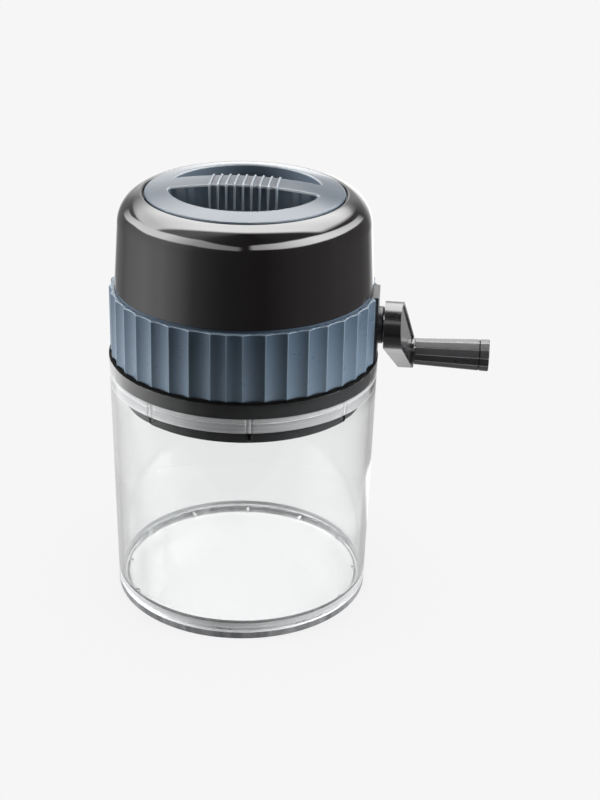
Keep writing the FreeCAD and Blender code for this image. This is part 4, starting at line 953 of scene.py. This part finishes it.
def make_grip():
    """Grip and its end cap, with a seam between them and a bevelled end."""
    low, high = (corner[0] for corner in node_box("crank_grip"))
    head = high - GRIP_HEAD_DEPTH
    make_grip_piece("grip_body", "crank_grip", [
        (low, None, GRIP_BORE)] + [(low + run, inset, 0) for run, inset in GRIP_BASE_EDGE] + [
        (high - GRIP_SEAM_RUN, 0.0, 0), (high, GRIP_SEAM_INSET, 0),
        (high, None, GRIP_HEAD_BORE), (head, None, GRIP_HEAD_BORE), (head, None, GRIP_BORE)])
    low, high = (corner[0] for corner in node_box("grip_end_cap"))
    bevel = GRIP_END_BEVEL
    make_grip_piece("grip_cap", "grip_end_cap", [
        (low, None, GRIP_CLOSED), (low, GRIP_SEAM_INSET, 0), (low + GRIP_SEAM_RUN, 0.0, 0),
        (high - bevel, 0.0, 0)] + [
        (high - run * bevel, inset * bevel, 0) for run, inset in GRIP_BEVEL_SHARES] + [
        (high, bevel, 0), (high, None, GRIP_CLOSED)])


# ---------------------------------------------------------------- stage
CAMERA_ANGLES = (-4.7694, 24.958, 1.43)  # heading, pitch and roll in degrees
CAMERA_PLACE = (0.08966, -0.73022, 0.44365)
CAMERA_LENS = 72.12
# name, place, target, size and power
LAMPS = (
    ("left_softbox", (-1.15, -0.03, 0.38), (0, 0, 0.12), (0.6, 0.8), 21.5),
    ("right_softbox", (1.15, -0.02, 0.38), (0, 0, 0.12), (0.6, 0.8), 22.0),
    ("top_softbox", (0.0, 0.35, 1.30), (0, 0, 0.1), (1.0, 1.0), 2.0),
)

# the floor's corners and, by distance from the axis in metres, its share of plain background
FLOOR_LOW = (-0.30, -0.205)
FLOOR_HIGH = (0.30, 0.40)
FLOOR_SHARE = [(0.0, 0.62), (0.056, 0.62), (0.066, 0.92), (0.076, 0.96), (0.13, 1.0)]
# strength that gloss shows of the floor by bearing in degrees: CLOSE_LIGHT gives way to
# NEAR_LIGHT and that to LOW_LIGHT between these distances
CLOSE = (0.168, 0.152)
FOOT_NEAR = (0.245, 0.280)
CLOSE_LIGHT = [(-180, 1.0), (-90, 0.8), (-50, 0.45), (0, 0.40), (50, 0.45), (90, 0.7), (128, 0.8),
               (136, 1.8), (154, 1.8), (164, 1.0), (180, 1.0)]
NEAR_LIGHT = [(-180, 1.0), (-90, 0.9), (-50, 0.45), (0, 0.40), (50, 0.45), (90, 0.7), (128, 0.65),
              (150, 0.75), (180, 0.9)]
LOW_LIGHT = [(-180, 1.0), (-150, 0.9), (-129, 0.9), (-116, 1.3), (-106, 1.2), (-95, 1.0),
             (-80, 1.0), (-58, 0.6), (-40, 0.15), (-20, 0.05), (0, 0.04), (60, 0.05), (120, 0.08),
             (150, 0.2), (165, 0.7), (180, 1.0)]
# the studio that gloss shows: the ceiling's strength by depth, and by bearing the height,
# half height and strength of the strip, and the strength of the walls above and beside it
OVERHEAD = [(0.0, 17.0), (0.167, 16.5), (0.333, 13.5), (0.474, 11.3), (0.545, 9.6), (0.592, 7.4),
            (0.636, 5.0), (0.677, 3.2), (0.733, 1.6), (0.80, 1.0), (1.0, 0.6)]
STRIP_HEIGHT = [(-180, 5), (-135, 7), (-126, 10), (-112, 18), (-93, 23.5), (-75, 31), (-44, 39),
                (-9, 36), (4, 34), (9, 36), (13, 39), (26, 40), (61, 38), (84, 35), (104, 29),
                (120, 23), (136, 15), (150, 8), (180, 5)]
STRIP_HALF = [(-180, 5), (-126, 5.5), (-112, 7), (-93, 9), (-75, 10.5), (-44, 10.5), (-9, 7),
              (4, 6), (13, 7), (26, 8.5), (61, 10.5), (84, 10), (104, 8.5), (120, 7), (136, 5.5),
              (180, 5)]
STRIP_LIGHT = [(-180, 0), (-140, 0), (-126, 4), (-112, 8), (-93, 11.5), (-75, 13), (-44, 6.4),
               (-9, 4), (0, 3.6), (5, 0), (11, 0), (15, 6.5), (26, 7.4), (61, 14), (84, 16.5),
               (104, 13.5), (120, 9), (136, 5), (148, 0), (180, 0)]
ABOVE_SIDES = [(-180, 0.40), (-173, 0.75), (-165, 1.3), (-150, 1.5), (-140, 1.0), (140, 1.0),
               (160, 0.7), (172, 0.45), (180, 0.40)]
SIDE_LIGHT = [(-180, 2.5), (-170, 1.9), (-160, 1.0), (-150, 0.40), (-125, 0.45), (-107, 1.1),
              (-90, 1.8), (-69, 2.0), (-50, 1.3), (-38, 0.6), (-20, 0.3), (-8, 0.2), (24, 0.1),
              (55, 0.3), (95, 0.4), (132, 0.25), (150, 0.3), (160, 0.8), (170, 1.9), (180, 2.5)]
LEAST_UP = 0.02
FRONT_SLANT, RIGHT_SLANT = 0.18, 0.15


def background_glow(tree):
    glow = tree.nodes.new("ShaderNodeEmission")
    glow.inputs["Color"].default_value = rgba(BACKGROUND)
    return glow


def make_floor():
    """Pale floor that ends before the camera's feet; far from the object it is plain background.

    Gloss shows it with a strength of its own, by bearing and distance from the object.
    """
    (left, front), (right, back) = FLOOR_LOW, FLOOR_HIGH
    mesh = new_mesh("floor", [(left, front, 0), (right, front, 0), (right, back, 0),
                              (left, back, 0)], [(0, 1, 2, 3)])
    floor = bpy.data.objects.new("floor", mesh)
    scene.collection.objects.link(floor)
    made, tree, shader = new_material("floor_look")
    shader.inputs["Base Color"].default_value = rgba(FLOOR_WHITE)
    shader.inputs["Roughness"].default_value = 0.9
    shader.inputs["Specular IOR Level"].default_value = 0.0
    place = tree.nodes.new("ShaderNodeTexCoord").outputs["Object"]
    length = tree.nodes.new("ShaderNodeVectorMath")
    length.operation = "LENGTH"
    tree.links.new(place, length.inputs[0])
    away = length.outputs["Value"]
    path = tree.nodes.new("ShaderNodeLightPath")
    seen = maths(tree, "MAXIMUM", path.outputs["Is Camera Ray"],
                 maths(tree, "MAXIMUM", path.outputs["Is Transmission Ray"],
                       path.outputs["Is Glossy Ray"]))
    far = curve(tree, away, FLOOR_SHARE, 0.0, FLOOR_SHARE[-1][0])
    plain = mixed_shader(tree, maths(tree, "MULTIPLY", far, seen), shader.outputs["BSDF"],
                         background_glow(tree).outputs["Emission"])
    split = tree.nodes.new("ShaderNodeSeparateXYZ")
    tree.links.new(place, split.inputs["Vector"])
    bearing = bearing_of(tree, split.outputs["X"], split.outputs["Y"])
    near = mixed(tree, stepped(tree, away, *CLOSE), bearing_curve(tree, bearing, NEAR_LIGHT),
                 bearing_curve(tree, bearing, CLOSE_LIGHT))
    mirrored = background_glow(tree)
    tree.links.new(mixed(tree, stepped(tree, away, *FOOT_NEAR), near,
                         bearing_curve(tree, bearing, LOW_LIGHT)), mirrored.inputs["Strength"])
    in_gloss = maths(tree, "GREATER_THAN", path.outputs["Glossy Depth"], 0.5)
    show(tree, mixed_shader(tree, maths(tree, "MULTIPLY", in_gloss, seen), plain,
                            mirrored.outputs["Emission"]))
    mesh.materials.append(made)


def studio_light(tree):
    """Strength that gloss shows of the studio.

    It has a ceiling softbox behind the object, a strip at each side and a pale left wall.
    """
    split = tree.nodes.new("ShaderNodeSeparateXYZ")
    tree.links.new(tree.nodes.new("ShaderNodeTexCoord").outputs["Generated"],
                   split.inputs["Vector"])
    x, y, z = (split.outputs[axis] for axis in "XYZ")
    up = maths(tree, "MAXIMUM", z, LEAST_UP)
    u, v = maths(tree, "DIVIDE", x, up), maths(tree, "DIVIDE", y, up)
    behind = maths(tree, "MAXIMUM", v, 0.0)
    depth = maths(tree, "DIVIDE", behind, maths(tree, "ADD", behind, 1.0))
    ceiling = curve(tree, depth, OVERHEAD, 0.0, 1.0)
    to_right = maths(tree, "MAXIMUM", u, 0.0)
    front = maths(tree, "SUBTRACT", v, maths(tree, "MULTIPLY", to_right, FRONT_SLANT))
    right = maths(tree, "SUBTRACT", u, maths(tree, "MULTIPLY", v, RIGHT_SLANT))
    far_right = maths(tree, "MULTIPLY", stepped(tree, u, -0.15, 0.2), stepped(tree, v, 1.6, 2.3))
    masks = [
        stepped(tree, front, -0.06, 0.12),  # the softbox's front, right and left edges
        stepped(tree, right, 1.15, 0.75),
        stepped(tree, u, -2.35, -1.8),
        ranged(tree, u, 0.62, 1.0, -1.1, -0.3),  # dimmer to the left and to the right
        ranged(tree, right, 1.0, 0.85, 0.3, 0.9),
        stepped(tree, z, 0.0, 0.15),  # gone at the horizon
        mixed(tree, far_right, 1.0, 0.45),  # dimmer far behind on the right
    ]
    for mask in masks:
        ceiling = maths(tree, "MULTIPLY", ceiling, mask)
    azimuth = bearing_of(tree, x, y)
    height = maths(tree, "MULTIPLY", maths(tree, "ARCSINE", z), 180 / math.pi)
    off_middle = maths(tree, "ABSOLUTE", maths(tree, "SUBTRACT", height,
                                               bearing_curve(tree, azimuth, STRIP_HEIGHT)))
    off = maths(tree, "DIVIDE", off_middle, bearing_curve(tree, azimuth, STRIP_HALF))
    strip = maths(tree, "MULTIPLY", bearing_curve(tree, azimuth, STRIP_LIGHT),
                  stepped(tree, off, 1.2, 0.8))
    above = mixed(tree, stepped(tree, z, 0.03, 0.11), 1.0,
                  bearing_curve(tree, azimuth, ABOVE_SIDES))
    sides = maths(tree, "MULTIPLY", bearing_curve(tree, azimuth, SIDE_LIGHT), above)
    sides = mixed(tree, stepped(tree, z, -0.33, -0.39), sides,
                  bearing_curve(tree, azimuth, LOW_LIGHT))
    return maths(tree, "MAXIMUM", maths(tree, "MAXIMUM", ceiling, strip), sides)


def make_world():
    """Plain background for what is seen and a soft even room light; gloss shows the studio."""
    world = bpy.data.worlds.new("studio")
    scene.world = world
    world.use_nodes = True
    tree = world.node_tree
    back = tree.nodes["Background"]
    back.inputs["Color"].default_value = rgba(BACKGROUND)
    path = tree.nodes.new("ShaderNodeLightPath")
    mirrored = maths(tree, "GREATER_THAN", path.outputs["Glossy Depth"], 0.5)
    scattered = maths(tree, "GREATER_THAN", path.outputs["Diffuse Depth"], 0.5)
    shown = mixed(tree, mirrored, 1.0, studio_light(tree))
    tree.links.new(mixed(tree, scattered, shown, ROOM_LEVEL), back.inputs["Strength"])


def lamp(name, place, target, size, power):
    """Softbox that lights the object; the softboxes that gloss shows are the world's."""
    data = bpy.data.lights.new(name, "AREA")
    data.shape = "RECTANGLE"
    data.size, data.size_y = size
    data.energy = power
    made = bpy.data.objects.new(name, data)
    made.location = place
    aim = Vector(target) - Vector(place)
    made.rotation_euler = aim.to_track_quat("-Z", "Y").to_euler()
    made.visible_glossy = False
    made.visible_camera = False
    made.visible_transmission = False
    scene.collection.objects.link(made)


def make_camera():
    heading, pitch, roll = (math.radians(angle) for angle in CAMERA_ANGLES)
    forward = Vector((math.sin(heading) * math.cos(pitch), math.cos(heading) * math.cos(pitch),
                      -math.sin(pitch)))
    level = Vector((math.cos(heading), -math.sin(heading), 0))
    upward = level.cross(forward)
    right = math.cos(roll) * level + math.sin(roll) * upward
    top = -math.sin(roll) * level + math.cos(roll) * upward
    data = bpy.data.cameras.new("camera")
    data.lens = CAMERA_LENS
    data.sensor_width = 36.0
    camera = bpy.data.objects.new("camera", data)
    turn = Matrix((right, top, -forward)).transposed()
    camera.matrix_world = Matrix.Translation(Vector(CAMERA_PLACE)) @ turn.to_4x4()
    scene.collection.objects.link(camera)
    scene.camera = camera


def soften(piece, width):
    """Small rounds on the sharp edges of a moulded or machined piece."""
    weld = piece.modifiers.new("join_faces", "WELD")
    weld.merge_threshold = 0.002 * MM
    bevel = piece.modifiers.new("edge_round", "BEVEL")
    bevel.width = width
    bevel.segments = 2
    bevel.limit_method = "ANGLE"
    bevel.angle_limit = math.radians(28.0)
    bevel.harden_normals = False
    bevel.miter_outer = "MITER_ARC"
    weigh_normals(piece)


for node_name, node in nodes.items():
    slot_name = node.material_slots[0].material.name.split(".")[0]
    node.material_slots[0].material = paints[slot_name]
    if node_name in EDGE_ROUND:
        soften(node, EDGE_ROUND[node_name] * MM)

make_camera()
make_floor()
make_world()
for settings in LAMPS:
    lamp(*settings)
make_dome()
make_lid()
make_lid_ribs()
make_ring()
make_rim_shadow_lip()
make_ledge_band()
make_foot_bands()
make_grip()
